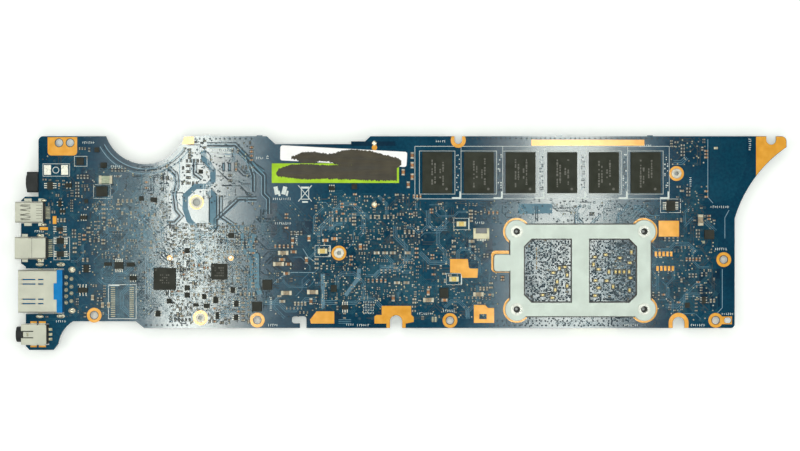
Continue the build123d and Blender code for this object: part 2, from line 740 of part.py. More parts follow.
with BuildPart() as usb_shell:
    sleeve(USB_X, USB_Y, USB_Z, SHELL_T)
    with BuildSketch(Plane.XY.offset(-1)):
        for y in USB_SPRINGS:
            patch(-118.0, y - 0.2, -113.5, y + 0.2)
            patch(-112.7, y - 0.2, -111.0, y + 0.2)
    extrude(amount=USB_Z[1] + 2, mode=Mode.SUBTRACT)
    block((-107.9, -106.9), (-17.6, -12.5), (USB_Z[1] - 1, USB_Z[1] + 1), mode=Mode.SUBTRACT)
    for side, edge in ((1, USB_Y[1]), (-1, USB_Y[0])):              # straps under the board
        near, far = sorted((edge - side * 0.1, edge + side * 2.0))
        block((-113.2, -111.8), (near, far), STRAP_Z)
        block((-108.3, -107.0), (near, far), STRAP_Z)
        near, far = sorted((edge + side * 0.5, edge + side * 2.0))
        block((-107.0, -104.9), (near, far), STRAP_Z)
        near, far = sorted((edge - side * 0.8, edge + side * 1.5))
        block((-104.9, -101.8), (near, far), STRAP_Z)
    for x, y in USB_LEGS:
        block((x - 0.6, x + 0.6), (y - 0.15, y + 0.15), (STRAP_Z[0], BOARD_TOP + 0.4))
keep(usb_shell, "usb_shell")

with BuildPart() as usb_insulator:
    inner_y = (USB_Y[0] + SHELL_T + 0.15, USB_Y[1] - SHELL_T - 0.15)
    inner_z = (USB_Z[0] + SHELL_T + 0.1, USB_Z[1] - SHELL_T - 0.1)
    block((-109.2, USB_X[1]), inner_y, inner_z)
    block((USB_X[1], -105.25), USB_Y, (0.4, USB_Z[1] - 0.1))
    block((-107.9, USB_X[1]), (-17.6, -12.5), (inner_z[1] - 0.1, USB_Z[1] - 0.1))
    block((-117.6, -109.2), (inner_y[0] + 0.6, inner_y[1] - 0.6), (2.85, 4.6))
keep(usb_insulator, "usb_insulator")

with BuildPart() as usb_contacts:
    for x, y in USB_PINS:
        block((-105.25, x + 0.15), (y - 0.15, y + 0.15), (1.5, 1.8))
        block((x - 0.15, x + 0.15), (y - 0.15, y + 0.15), (1.5, BOARD_TOP + 0.45))
    for i in range(4):
        y = -15.05 + (i - 1.5) * 2.3
        block((-117.2, -110.4), (y - 0.45, y + 0.45), (2.7, 2.85))
keep(usb_contacts, "usb_contacts")

HDMI_X = (-119.95, -111.35)
HDMI_Y = (6.3, 12.8)
HDMI_Z = (2.1, 5.0)
VIDEO_WALL = 0.25

with BuildPart() as micro_hdmi_shell:
    sleeve(HDMI_X, HDMI_Y, HDMI_Z, VIDEO_WALL)
    with BuildSketch(Plane.XY.offset(HDMI_Z[1] - 1)):
        for y in (7.2, 11.75):                                       # outer spring cuts
            patch(-118.2, y - 0.13, -115.3, y + 0.13)
        for y, lean in ((10.05, -1), (8.95, 1)):                     # inner cuts, closing in
            outline_points([
                (-118.2, y - lean * 0.2 - 0.13), (-115.3, y + lean * 0.2 - 0.1),
                (-115.3, y + lean * 0.2 + 0.1), (-118.2, y - lean * 0.2 + 0.13),
            ])
    extrude(amount=2, mode=Mode.SUBTRACT)
    solder_tabs([(-117.3, -115.0), (-112.9, -111.35)], HDMI_Y)
keep(micro_hdmi_shell, "micro_hdmi_shell")

with BuildPart() as micro_hdmi_insulator:
    block((-113.6, HDMI_X[1]), (HDMI_Y[0] + 0.4, HDMI_Y[1] - 0.4), (2.45, 4.65))
    block((HDMI_X[1], -110.7), (HDMI_Y[0] + 0.5, HDMI_Y[1] - 0.5), (BOARD_TOP, 4.6))
    block((-118.9, -113.6), (HDMI_Y[0] + 1.3, HDMI_Y[1] - 1.3), (3.3, 3.85))
keep(micro_hdmi_insulator, "micro_hdmi_insulator")

with BuildPart() as micro_hdmi_contacts:
    for i in range(10):
        y = 9.35 + (i - 4.5) * 0.4
        block((-110.7, -109.2), (y - 0.1, y + 0.1), (BOARD_TOP, BOARD_TOP + 0.15))
        block((-118.7, -113.6), (y - 0.09, y + 0.09), (3.85, 3.92))
keep(micro_hdmi_contacts, "micro_hdmi_contacts")

DISPLAY_X = (-120.0, -110.45)
DISPLAY_Y = (-4.95, 1.75)
DISPLAY_Z = (1.1, 5.4)

with BuildPart() as display_port_shell:
    sleeve(DISPLAY_X, DISPLAY_Y, DISPLAY_Z, VIDEO_WALL)
    sleeve((DISPLAY_X[0] + 0.02, -115.7), (-5.05, 1.85), (1.0, 5.5), 0.12)
    solder_tabs([(-118.0, -116.2), (-113.0, -111.2)], DISPLAY_Y)
keep(display_port_shell, "display_port_shell")

with BuildPart() as display_port_insulator:
    block((-113.4, DISPLAY_X[1]), (DISPLAY_Y[0] + 0.4, DISPLAY_Y[1] - 0.4), (1.5, 5.0))
    block((DISPLAY_X[1], -109.8), (DISPLAY_Y[0] + 0.3, DISPLAY_Y[1] - 0.3), (BOARD_TOP, 5.0))
    block((-118.6, -113.4), (DISPLAY_Y[0] + 1.2, DISPLAY_Y[1] - 1.2), (2.7, 3.7))
keep(display_port_insulator, "display_port_insulator")

with BuildPart() as display_port_contacts:
    for i in range(10):
        y = -1.6 + (i - 4.5) * 0.56
        block((-109.8, -108.5), (y - 0.13, y + 0.13), (BOARD_TOP, BOARD_TOP + 0.15))
    for i in range(10):
        y = -1.6 + (i - 4.5) * 0.4
        block((-118.3, -113.4), (y - 0.1, y + 0.1), (3.7, 3.77))
keep(display_port_contacts, "display_port_contacts")

# Audio jack: a black housing with a round nose, a folded cover and two side clips
JACK_Y = -28.45
JACK_Z = 3.0
JACK_BORE_R = 1.8
JACK_NOSE_R = 2.43
JACK_NOSE_X = (-119.75, -118.0)
JACK_BODY_X = (-118.0, -110.0)
JACK_HALF_W = 2.95

with BuildPart() as audio_jack_housing:
    with BuildSketch(Plane.YZ.offset(JACK_NOSE_X[0])):
        with Locations((JACK_Y, JACK_Z)):
            Circle(JACK_NOSE_R)
    extrude(amount=JACK_NOSE_X[1] - JACK_NOSE_X[0])
    fillet(audio_jack_housing.edges().sort_by(Axis.X)[0], 0.3)
    block(JACK_BODY_X, (JACK_Y - JACK_HALF_W, JACK_Y + JACK_HALF_W), (0.5, 5.3))
    block((JACK_BODY_X[1], -109.7), (JACK_Y - 2.4, JACK_Y + 2.4), (0.5, 4.6))
    with BuildSketch(Plane.YZ.offset(JACK_NOSE_X[0])):
        with Locations((JACK_Y, JACK_Z)):
            Circle(JACK_BORE_R)
    extrude(amount=9.2, mode=Mode.SUBTRACT)
    block((-117.6, -114.4), (JACK_Y - 0.6, JACK_Y + 0.6), (4.5, 5.4), mode=Mode.SUBTRACT)
keep(audio_jack_housing, "audio_jack_housing")

COVER_T = 0.2
with BuildPart() as audio_jack_cover:
    high = 5.3
    half = JACK_HALF_W
    block((-118.0, -110.2), (JACK_Y - half, JACK_Y + half), (high, high + COVER_T))
    for side in (-1, 1):
        near, far = sorted((side * half, side * (half + COVER_T)))
        block((-118.0, -113.0), (JACK_Y + near, JACK_Y + far), (1.5, high + COVER_T))
        for x0, x1 in ((-115.3, -113.5), (-112.7, -110.7)):
            near, far = sorted((side * half, side * (half + 0.55)))
            block((x0, x1), (JACK_Y + near, JACK_Y + far), (BOARD_TOP + PLATING, BOARD_TOP + 0.25))
            near, far = sorted((side * half, side * (half + COVER_T)))
            block((x0, x1), (JACK_Y + near, JACK_Y + far), (BOARD_TOP + PLATING, high + COVER_T))
    for side in (-1, 1):                                             # cuts beside the spring
        y = JACK_Y + side * 1.0
        block((-118.2, -114.2), (y - 0.16, y + 0.16), (high - 0.1, high + 1), mode=Mode.SUBTRACT)
    block((-118.2, -117.3), (JACK_Y - 1, JACK_Y + 1), (high - 0.1, high + 1), mode=Mode.SUBTRACT)
    block((-116.3, -115.7), (JACK_Y - 0.5, JACK_Y + 0.5), (high - 0.1, high + 1), mode=Mode.SUBTRACT)
keep(audio_jack_cover, "audio_jack_cover")

with BuildPart() as audio_jack_contacts:
    for shift in (-1.5, 0, 1.5):
        y = JACK_Y + shift
        block((-109.7, -108.6), (y - 0.4, y + 0.4), (BOARD_TOP, BOARD_TOP + 0.2))
    block((-117.5, -114.5), (JACK_Y - 0.45, JACK_Y + 0.45), (4.85, 5.0))
keep(audio_jack_contacts, "audio_jack_contacts")

# Power jack: hung under the board, with its mouth standing past the left edge
POWER_X = (-116.3, -112.95)
POWER_Y = (15.75, 22.1)
POWER_Z = (0.15, 5.0)
POWER_BORE_R = 2.0
POWER_MID = ((POWER_Y[0] + POWER_Y[1]) / 2, 2.55)

with BuildPart() as power_jack_housing:
    block(POWER_X, POWER_Y, POWER_Z)
    chamfer(power_jack_housing.edges().filter_by(Axis.X).group_by(Axis.Z)[-1], 0.35)
    block((POWER_X[1], -106.0), POWER_Y, (POWER_Z[0], BOARD_LOW - 0.05))
    with BuildSketch(Plane.YZ.offset(-116.65)):
        with Locations(POWER_MID):
            Circle(POWER_BORE_R + 0.3)
    extrude(amount=0.4)
    with BuildSketch(Plane.YZ.offset(-117)):
        with Locations(POWER_MID):
            Circle(POWER_BORE_R)
    extrude(amount=4.0, mode=Mode.SUBTRACT)
keep(power_jack_housing, "power_jack_housing")

with BuildPart() as power_jack_pin:
    with BuildSketch(Plane.YZ.offset(-116.2)):
        with Locations(POWER_MID):
            Circle(0.65)
    extrude(amount=3.2)
    fillet(power_jack_pin.edges().sort_by(Axis.X)[0], 0.3)
keep(power_jack_pin, "power_jack_pin")

# ---------------------------------------------------------------------------
# Stick-on labels
# ---------------------------------------------------------------------------
LABEL_T = 0.08
with BuildPart() as white_label:
    with BuildSketch(Plane.XY.offset(BOARD_TOP)) as paper:
        outline_points([(-37.6, 30.4), (1.9, 28.3), (1.6, 23.6), (-37.7, 25.7)])
        fillet(paper.vertices(), 0.7)
    extrude(amount=LABEL_T)
keep(white_label, "white_label")

with BuildPart() as green_label:
    with BuildSketch(Plane.XY.offset(BOARD_TOP)):
        patch(-40.3, 18.65, -0.7, 24.75)
    extrude(amount=LABEL_T)
    add(white_label.part, mode=Mode.SUBTRACT)
keep(green_label, "green_label")

# ---------------------------------------------------------------------------
# Lower face
# ---------------------------------------------------------------------------
CPU_MIDDLE = (55.7, -8.55)
with BuildPart() as processor_substrate:
    packages_below([(*CPU_MIDDLE, 31.0, 24.0, 1.1)], draft=0)
keep(processor_substrate, "processor_substrate")
with BuildPart() as processor_die:
    block((48.2, 63.2), (-13.3, -3.9), (0.75, BOARD_LOW - 1.1))
keep(processor_die, "processor_die")

with BuildPart() as chipset_substrate:
    packages_below([(-2.0, -3.0, 22.0, 20.0, 1.0)], draft=0)
keep(chipset_substrate, "chipset_substrate")
with BuildPart() as chipset_die:
    block((-6.5, 2.5), (-7.5, 1.5), (0.85, BOARD_LOW - 1.0))
keep(chipset_die, "chipset_die")

with BuildPart() as lower_memory_chips:
    packages_below([(12.0, 21.8, *CHIP_SIZE, CHIP_T), (-0.5, 21.8, *CHIP_SIZE, CHIP_T)], draft=2)
keep(lower_memory_chips, "lower_memory_chips")

INDUCTORS = [
    (85.0, -15.2), (85.0, -6.8), (85.0, 1.6),
    (-85.0, 8.5), (-70.0, -8.0), (-70.0, 0.4),
]
with BuildPart() as power_inductors:
    packages_below([(x, y, 7.0, 6.8, BOARD_LOW) for x, y in INDUCTORS], draft=2)
keep(power_inductors, "power_inductors")

BULK_CAPACITORS = [(93.3, -15.5), (93.3, -7.0), (93.3, 1.5), (-76.8, 8.5), (-60.5, -8.0)]
with BuildPart() as bulk_capacitors:
    packages_below([(x, y, 4.3, 7.3, 1.9) for x, y in BULK_CAPACITORS], draft=3)
keep(bulk_capacitors, "bulk_capacitors")

LOWER_CHIPS = [
    (-32.0, 14.0, 5.2, 5.2, 1.7), (-97.0, -15.0, 7.0, 7.0, 0.9), (-97.5, 2.0, 5.0, 5.0, 0.9),
    (78.0, 21.5, 5.0, 5.0, 0.9), (-70.0, 17.5, 4.0, 4.0, 0.9), (40.5, -24.0, 3.0, 3.0, 0.9),
    (-48.0, 22.0, 6.0, 6.0, 0.9), (20.0, 3.0, 4.0, 4.0, 0.9),
]
with BuildPart() as lower_controllers:
    packages_below(LOWER_CHIPS)
keep(lower_controllers, "lower_controllers")


def card_socket(x, y, half):
    """Edge-card socket in the current part; the card goes in from +x."""
    block((x - 2.6, x + 2.6), (y - half, y + half), (0.0, BOARD_LOW))
    block((x - 1.0, x + 2.7), (y - half + 0.8, y + half - 0.8), (0.7, 1.65), mode=Mode.SUBTRACT)


def card_contacts(x, y, cells):
    """Contacts of an edge-card socket: tails behind it and fingers along its mouth."""
    for middle_x, length, low in ((x - 3.05, 0.9, BOARD_LOW - 0.15), (x + 0.6, 3.2, 1.5)):
        with Locations((middle_x, y, low + 0.075)):
            with GridLocations(1, CELL_PITCH, 1, cells):
                Box(length, 0.2, 0.15)


with BuildPart() as drive_socket:
    card_socket(28.0, 21.6, 10.0)
keep(drive_socket, "drive_socket")
with BuildPart() as radio_socket:
    card_socket(-49.0, -3.15, 9.5)
keep(radio_socket, "radio_socket")
with BuildPart() as card_socket_contacts:
    card_contacts(28.0, 21.6, 34)
    card_contacts(-49.0, -3.15, 32)
keep(card_socket_contacts, "card_socket_contacts")

with BuildPart() as battery_socket:
    block((53.0, 67.0), (-26.3, -21.9), (0.0, BOARD_LOW))
    for i in range(8):
        x = 60.0 + (i - 3.5) * 1.5
        block((x - 0.35, x + 0.35), (-26.4, -23.0), (0.6, 2.1), mode=Mode.SUBTRACT)
keep(battery_socket, "battery_socket")

with BuildPart() as display_cable_socket:
    block((-29.0, -11.0), (26.2, 29.2), (1.3, BOARD_LOW))
    block((-28.0, -12.0), (27.4, 29.3), (1.6, 2.2), mode=Mode.SUBTRACT)
keep(display_cable_socket, "display_cable_socket")

with BuildPart() as wire_sockets:
    for x, y in ((-61.5, 29.0), (-30.0, 4.0)):
        block((x - 2.9, x + 2.9), (y - 2.0, y + 2.0), (0.9, BOARD_LOW))
        block((x - 2.3, x + 2.3), (y - 0.6, y + 2.1), (1.2, 2.2), mode=Mode.SUBTRACT)
keep(wire_sockets, "wire_sockets")
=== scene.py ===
"""Looks of a slim laptop's main circuit board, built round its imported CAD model.

Blender works in metres.  Lengths in this script are millimetres in the board's frame and are
turned into metres by MM where an object is made.
"""
import bpy
import math
import random
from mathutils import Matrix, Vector
from mathutils.bvhtree import BVHTree


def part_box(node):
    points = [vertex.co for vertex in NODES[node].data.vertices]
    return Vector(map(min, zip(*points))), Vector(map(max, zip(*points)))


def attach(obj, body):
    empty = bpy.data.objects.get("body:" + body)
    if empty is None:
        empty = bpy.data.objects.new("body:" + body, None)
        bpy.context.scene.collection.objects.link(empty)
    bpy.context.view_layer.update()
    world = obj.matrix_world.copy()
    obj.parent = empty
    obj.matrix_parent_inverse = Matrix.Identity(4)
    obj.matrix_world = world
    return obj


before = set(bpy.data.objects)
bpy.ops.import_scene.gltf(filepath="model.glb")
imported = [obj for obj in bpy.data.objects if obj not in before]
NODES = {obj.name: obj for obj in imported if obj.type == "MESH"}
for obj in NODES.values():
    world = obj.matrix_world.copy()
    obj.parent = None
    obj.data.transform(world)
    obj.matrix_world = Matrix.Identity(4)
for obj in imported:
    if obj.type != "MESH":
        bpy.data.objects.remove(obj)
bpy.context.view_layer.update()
MM = 0.001
(LEFT, FRONT, BOARD_LOW), (RIGHT, BACK, BOARD_HIGH) = (
    [value / MM for value in corner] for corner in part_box("circuit_board"))
CHANCE = random.Random(11)


# ---- Camera and light ----
FRAME_WIDTH = 248.96                 # width of the picture on the board's plane
FRAME_MIDDLE = (-0.39, 5.41)
CAMERA_RISE = 700.0
SENSOR = 36.0
LIGHT_RISE = 1.5                     # of the overhead strips, in metres
SIDE_PLACE = 0.95                    # of the side lights, out from the middle and up, in metres


def add_camera():
    """Camera looking straight down on the board's upper face."""
    data = bpy.data.cameras.new("camera")
    data.sensor_width = SENSOR
    data.lens = SENSOR * CAMERA_RISE / FRAME_WIDTH
    data.clip_end = 20
    camera = bpy.data.objects.new("camera", data)
    x, y = FRAME_MIDDLE
    camera.location = (x * MM, y * MM, (BOARD_HIGH + CAMERA_RISE) * MM)
    bpy.context.scene.collection.objects.link(camera)
    bpy.context.scene.camera = camera


def add_light(name, place, size, aim, watts, tint=(1, 1, 1)):
    """Rectangular soft light, in metres, turned towards a point."""
    data = bpy.data.lights.new(name, "AREA")
    data.shape = "RECTANGLE"
    data.size, data.size_y = size
    data.energy = watts
    data.color = tint
    light = bpy.data.objects.new(name, data)
    light.location = place
    direction = Vector(aim) - Vector(place)
    light.rotation_euler = direction.to_track_quat("-Z", "Y").to_euler()
    bpy.context.scene.collection.objects.link(light)


def add_lights():
    """Overhead strips that mirror in the glossy mask, and broad light from the sides."""
    for name, x, width, watts in (
        ("left_faint", -0.265, 0.060, 0.22), ("left_main", -0.206, 0.060, 2.7),
        ("left_half", -0.158, 0.036, 0.42), ("left_tail", -0.116, 0.050, 0.08),
        ("right_start", 0.107, 0.040, 0.26), ("right_main", 0.165, 0.076, 2.5),
        ("right_tail", 0.224, 0.040, 0.3),
    ):
        place, aim = (x, 0.02, LIGHT_RISE), (x, 0.02, 0)
        add_light("glare_" + name, place, (width, 0.6), aim, watts, (0.96, 1.0, 0.91))
    for name, x, y in (("west", -1, 0), ("east", 1, 0), ("north", 0, 1), ("south", 0, -1)):
        place = (x * SIDE_PLACE, y * SIDE_PLACE, SIDE_PLACE)
        add_light("side_" + name, place, (1.1, 0.8), (0, 0, 0), 5.1)
    world = bpy.data.worlds.new("room")
    world.use_nodes = True
    world.node_tree.nodes["Background"].inputs["Color"].default_value = (1, 1, 1, 1)
    world.node_tree.nodes["Background"].inputs["Strength"].default_value = 0.05
    bpy.context.scene.world = world


# ---- Materials ----
FINISHES = {}                        # material of each finish, by its name


class Finish:
    """Node material under construction, with short helpers for the nodes that it uses."""

    def __init__(self, name, rough=0.5, metal=0.0, coat=0.0, sheen=0.5):
        self.material = bpy.data.materials.new(name)
        FINISHES[name] = self.material
        self.material.use_nodes = True
        self.tree = self.material.node_tree
        self.shader = self.tree.nodes["Principled BSDF"]
        for key, value in (("Roughness", rough), ("Metallic", metal), ("Coat Weight", coat),
                           ("IOR", 1.5), ("Specular IOR Level", sheen)):
            self.shader.inputs[key].default_value = value
        self.place = self.node("ShaderNodeTexCoord").outputs["Object"]

    def node(self, kind, **inputs):
        """New node; inputs are set by socket name, with _ for a space, by value or by link."""
        made = self.tree.nodes.new(kind)
        for key, value in inputs.items():
            self.feed(made.inputs[key.replace("_", " ")], value)
        return made

    def feed(self, socket, value):
        if isinstance(value, bpy.types.NodeSocket):
            self.tree.links.new(value, socket)
        else:
            socket.default_value = value

    def noise(self, scale, detail=3.0, stretch=None):
        """Noise value; scale is its features per millimetre."""
        vector = self.place
        if stretch:
            vector = self.node("ShaderNodeMapping", Vector=vector, Scale=stretch).outputs[0]
        made = self.node("ShaderNodeTexNoise", Vector=vector, Scale=scale / MM, Detail=detail)
        return made.outputs["Fac"]

    def ramp(self, value, *stops):
        """Colour ramp through (position, colour) stops."""
        made = self.node("ShaderNodeValToRGB", Fac=value)
        ramp = made.color_ramp
        while len(ramp.elements) < len(stops):
            ramp.elements.new(0.5)
        for element, (position, colour) in zip(ramp.elements, stops):
            element.position = position
            element.color = (*colour, 1)
        return made.outputs["Color"]

    def span(self, value, low, high, to_low, to_high):
        """Value carried linearly from one range to another."""
        made = self.node("ShaderNodeMapRange", Value=value, From_Min=low, From_Max=high,
                         To_Min=to_low, To_Max=to_high)
        return made.outputs["Result"]

    def mix(self, factor, first, second, blend="MIX"):
        made = self.tree.nodes.new("ShaderNodeMix")
        made.data_type = "RGBA"
        made.blend_type = blend
        self.feed(made.inputs[0], factor)
        for socket, value in ((made.inputs[6], first), (made.inputs[7], second)):
            self.feed(socket, (*value, 1) if isinstance(value, tuple) else value)
        return made.outputs[2]

    def colour(self, value):
        self.feed(self.shader.inputs["Base Color"], value)

    def rough(self, value):
        self.feed(self.shader.inputs["Roughness"], value)

    def bump(self, height, depth):
        """Surface relief; depth is in millimetres."""
        made = self.node("ShaderNodeBump", Height=height, Strength=0.5, Distance=depth * MM)
        self.tree.links.new(made.outputs["Normal"], self.shader.inputs["Normal"])

    def island(self):
        """Random value, different on each loose piece of a mesh."""
        return self.node("ShaderNodeNewGeometry").outputs["Random Per Island"]


def mottled(name, dark, light, rough, metal=0.0, grain=2.0, relief=0.01, coat=0.0, spread=0.0):
    """General finish: two tones mixed by noise, uneven gloss and fine relief.

    With spread, loose pieces of one mesh are also darkened by up to that share, each its own.
    """
    finish = Finish(name, rough, metal, coat)
    cloud = finish.noise(grain, 4)
    tone = finish.ramp(cloud, (0.3, dark), (0.7, light))
    piece = finish.island() if spread else finish.noise(0.4, 1)
    shade = finish.span(piece, 0, 1, 1 - (spread or 0.12), 1.0)
    grey = finish.node("ShaderNodeCombineColor", Red=shade, Green=shade, Blue=shade)
    finish.colour(finish.mix(1.0, tone, grey.outputs[0], "MULTIPLY"))
    finish.rough(finish.span(cloud, 0.3, 0.7, rough * 0.85, min(1, rough * 1.15)))
    finish.bump(finish.noise(grain * 6, 2), relief)


def solder_mask(name, deep, mid, rough=0.07):
    """Glossy blue mask: cloudy copper tone under it, faint weave, and laminate on the cut edges."""
    finish = Finish(name, rough)
    cloud = finish.noise(0.045, 5)
    tone = finish.ramp(cloud, (0.36, deep), (0.62, mid))
    speck = finish.ramp(finish.noise(1.1, 6), (0.38, (0.75, 0.8, 0.85)), (0.66, (1.15, 1.1, 1.08)))
    tone = finish.mix(1.0, tone, speck, "MULTIPLY")
    normal = finish.node("ShaderNodeNewGeometry").outputs["Normal"]
    upright = finish.node("ShaderNodeSeparateXYZ", Vector=normal).outputs["Z"]
    size = finish.node("ShaderNodeMath", Value=upright)
    size.operation = "ABSOLUTE"
    flat = finish.span(size.outputs[0], 0.4, 0.6, 0, 1)
    layers = finish.node("ShaderNodeTexWave", Vector=finish.place, Scale=5 / MM)
    layers.bands_direction = "Z"
    edge = finish.ramp(layers.outputs["Fac"], (0.2, (0.10, 0.13, 0.09)), (0.8, (0.33, 0.34, 0.2)))
    finish.colour(finish.mix(flat, edge, tone))
    finish.rough(finish.span(finish.noise(0.25, 3), 0.3, 0.7, rough * 0.85, rough * 1.2))
    finish.bump(finish.noise(1.6, 5), 0.004)


def sheet_steel(name, tone, rough, grain=(1, 12, 1)):
    """Plated sheet steel: drawn grain, light stains and a slightly uneven sheen."""
    finish = Finish(name, rough, metal=0.55)
    stain = finish.noise(0.25, 5)
    lines = finish.noise(1.5, 3, grain)
    dull = tuple(value * 0.84 for value in tone)
    finish.colour(finish.mix(0.25, finish.ramp(stain, (0.3, dull), (0.65, tone)),
                             finish.ramp(lines, (0.3, dull), (0.7, tone))))
    finish.rough(finish.span(lines, 0.3, 0.7, rough * 0.85, rough * 1.2))
    finish.bump(finish.noise(5, 3), 0.004)


def marker(name, dark, light):
    """Marker ink: strokes along X, darker where they overlap."""
    finish = Finish(name, 0.4, sheen=0.25)
    strokes = finish.noise(0.5, 5, (0.12, 1.6, 1))
    blots = finish.noise(0.35, 4)
    finish.colour(finish.mix(0.4, finish.ramp(strokes, (0.35, dark), (0.65, light)),
                             finish.ramp(blots, (0.35, dark), (0.7, light))))
    finish.rough(finish.span(strokes, 0.3, 0.7, 0.3, 0.5))
    finish.bump(strokes, 0.01)


def moulded(name, tone, rough=0.55, relief=0.02, sheen=0.5):
    """Moulded plastic or epoxy: fine pits, faint flow marks and dust."""
    finish = Finish(name, rough, sheen=sheen)
    flow = finish.noise(0.35, 3)
    dust = finish.noise(7, 2)
    lighter = tuple(min(1, value * 1.35 + 0.01) for value in tone)
    base = finish.ramp(flow, (0.3, tone), (0.75, lighter))
    dusty = tuple(min(1, value + 0.08) for value in tone)
    finish.colour(finish.mix(finish.span(dust, 0.64, 0.76, 0, 0.6), base, dusty))
    finish.rough(finish.span(dust, 0.3, 0.7, rough * 0.85, min(1, rough * 1.15)))
    finish.bump(finish.noise(9, 2), relief)


def make_finishes():
    """Every finish, by name."""
    solder_mask("mask", (0.001, 0.035, 0.069), (0.004, 0.060, 0.106))
    solder_mask("gap", (0.002, 0.016, 0.026), (0.005, 0.030, 0.044), 0.55)
    solder_mask("trace", (0.005, 0.060, 0.095), (0.024, 0.102, 0.144), 0.08)
    solder_mask("teal", (0.002, 0.048, 0.086), (0.005, 0.066, 0.112), 0.07)
    solder_mask("navy", (0.001, 0.020, 0.044), (0.002, 0.030, 0.060), 0.08)
    solder_mask("wide", (0.015, 0.120, 0.190), (0.030, 0.160, 0.230), 0.3)
    mottled("gold", (0.81, 0.36, 0.032), (0.91, 0.44, 0.055), 0.12, 0.05, 0.5, 0.003)
    mottled("gold_small", (0.34, 0.32, 0.19), (0.70, 0.68, 0.47), 0.35, 0.2, spread=0.55)
    mottled("caps", (0.38, 0.39, 0.34), (0.70, 0.70, 0.61), 0.35, 0.3, spread=0.55)
    sheet_steel("plate", (0.58, 0.655, 0.60), 0.5)
    # Black film; the same finish paints shade round the backplate, in its studs and round the window
    # capacitors.
    moulded("film", (0.02, 0.02, 0.022), 0.4)
    mottled("tin", (0.44, 0.44, 0.38), (0.70, 0.69, 0.62), 0.3, 0.5, 1.2, 0.005)
    mottled("dull_tin", (0.20, 0.19, 0.13), (0.48, 0.46, 0.34), 0.35, 0.4, 1.2)
    mottled("solder", (0.36, 0.33, 0.22), (0.72, 0.68, 0.54), 0.2, 0.7, 1.5, 0.005)
    mottled("end_tin", (0.32, 0.29, 0.20), (0.58, 0.54, 0.42), 0.35, 0.3, 1.2)
    mottled("nut", (0.36, 0.34, 0.28), (0.60, 0.58, 0.50), 0.35, 0.4, 1.0, 0.005)
    mottled("stud", (0.48, 0.50, 0.46), (0.72, 0.74, 0.68), 0.35, 0.35, 1.0, 0.005)
    moulded("package", (0.019, 0.021, 0.015), 0.6, 0.02, 0.2)
    moulded("memory", (0.020, 0.023, 0.014), 0.6, 0.02, 0.2)
    mottled("ferrite", (0.25, 0.30, 0.19), (0.45, 0.51, 0.35), 0.45)
    moulded("inductor", (0.06, 0.06, 0.062), 0.6, 0.04)
    mottled("tan", (0.17, 0.13, 0.08), (0.40, 0.32, 0.20), 0.45, grain=1.5)
    mottled("brown", (0.20, 0.07, 0.025), (0.80, 0.33, 0.08), 0.45, grain=1.5, spread=0.6)
    mottled("black_chip", (0.015, 0.014, 0.016), (0.07, 0.06, 0.055), 0.4, spread=0.6)
    mottled("lamp", (0.55, 0.36, 0.035), (0.82, 0.60, 0.13), 0.25, grain=1.0, coat=0.2)
    moulded("ivory", (0.64, 0.62, 0.42), 0.5)
    moulded("grey", (0.16, 0.17, 0.17), 0.5)
    moulded("blue", (0.001, 0.17, 0.44), 0.45, 0.01, 0.1)
    moulded("black", (0.012, 0.014, 0.014), 0.5, 0.02, 0.25)
    sheet_steel("shell", (0.485, 0.49, 0.41), 0.42)
    moulded("seam", (0.10, 0.10, 0.085), 0.5)
    moulded("white_label", (0.96, 0.96, 0.94), 0.6, 0.01)
    moulded("green_label", (0.335, 0.56, 0.026), 0.7, 0.01, 0.15)
    marker("ink", (0.022, 0.018, 0.010), (0.070, 0.058, 0.034))
    mottled("silk", (0.55, 0.64, 0.62), (0.86, 0.92, 0.86), 0.6, grain=3.0)
    # Pale lines; the ones beside the pour channels are painted highlight.
    mottled("pale_line", (0.16, 0.30, 0.38), (0.26, 0.42, 0.50), 0.4, grain=2.0)
    mottled("mark", (0.10, 0.10, 0.085), (0.17, 0.17, 0.14), 0.6, grain=3.0)
    solder_mask("substrate", (0.02, 0.13, 0.06), (0.03, 0.18, 0.08), 0.3)
    mottled("silicon", (0.16, 0.17, 0.22), (0.24, 0.25, 0.30), 0.12, 0.8, 0.3)


def by_member(groups):
    """Turn group: "member member ..." round into member: group."""
    return {member: group for group, members in groups.items() for member in members.split()}


SLOTS = by_member({
    "laminate": "trace gap teal navy wide", "gold": "gold_small", "lamp_yellow": "lamp",
    "tin": "tin caps dull_tin solder", "ceramic_tan": "tan brown",
    "package_black": "black_chip package",
})
NODE_FINISH = by_member({
    "mask": "circuit_board", "gold": "gold_lands", "plate": "backplate", "film": "backplate_film",
    "stud": "backplate_studs", "nut": "solder_nuts", "memory": "memory_chips lower_memory_chips",
    "package": "system_controller charge_controller power_mosfets gull_packages leadless_packages "
               "bulk_capacitors lower_controllers",
    "ferrite": "input_choke", "end_tin": "input_choke_caps capacitor_ends",
    "tan": "capacitor_bodies", "lamp": "lamp_lenses",
    "tin": "gull_leads sensor_socket_contacts lower_socket_contacts power_jack_pin",
    "gold_small": "card_socket_contacts usb_contacts micro_hdmi_contacts display_port_contacts "
                  "audio_jack_contacts",
    "ivory": "lamp_bases sensor_socket_housing keyboard_socket_housing touchpad_socket_housing "
             "io_board_socket_housing battery_socket wire_sockets",
    "grey": "sensor_socket_latch keyboard_socket_latch touchpad_socket_latch "
            "io_board_socket_latch",
    "shell": "usb_shell micro_hdmi_shell display_port_shell audio_jack_cover",
    "blue": "usb_insulator",
    "black": "micro_hdmi_insulator display_port_insulator audio_jack_housing power_jack_housing "
             "drive_socket radio_socket display_cable_socket",
    "white_label": "white_label", "green_label": "green_label",
    "substrate": "processor_substrate chipset_substrate", "silicon": "processor_die chipset_die",
    "inductor": "power_inductors",
})


def dress_nodes():
    """Give each carried-over CAD node its finish."""
    for name, node in NODES.items():
        node.data.materials.clear()
        node.data.materials.append(FINISHES[NODE_FINISH[name]])


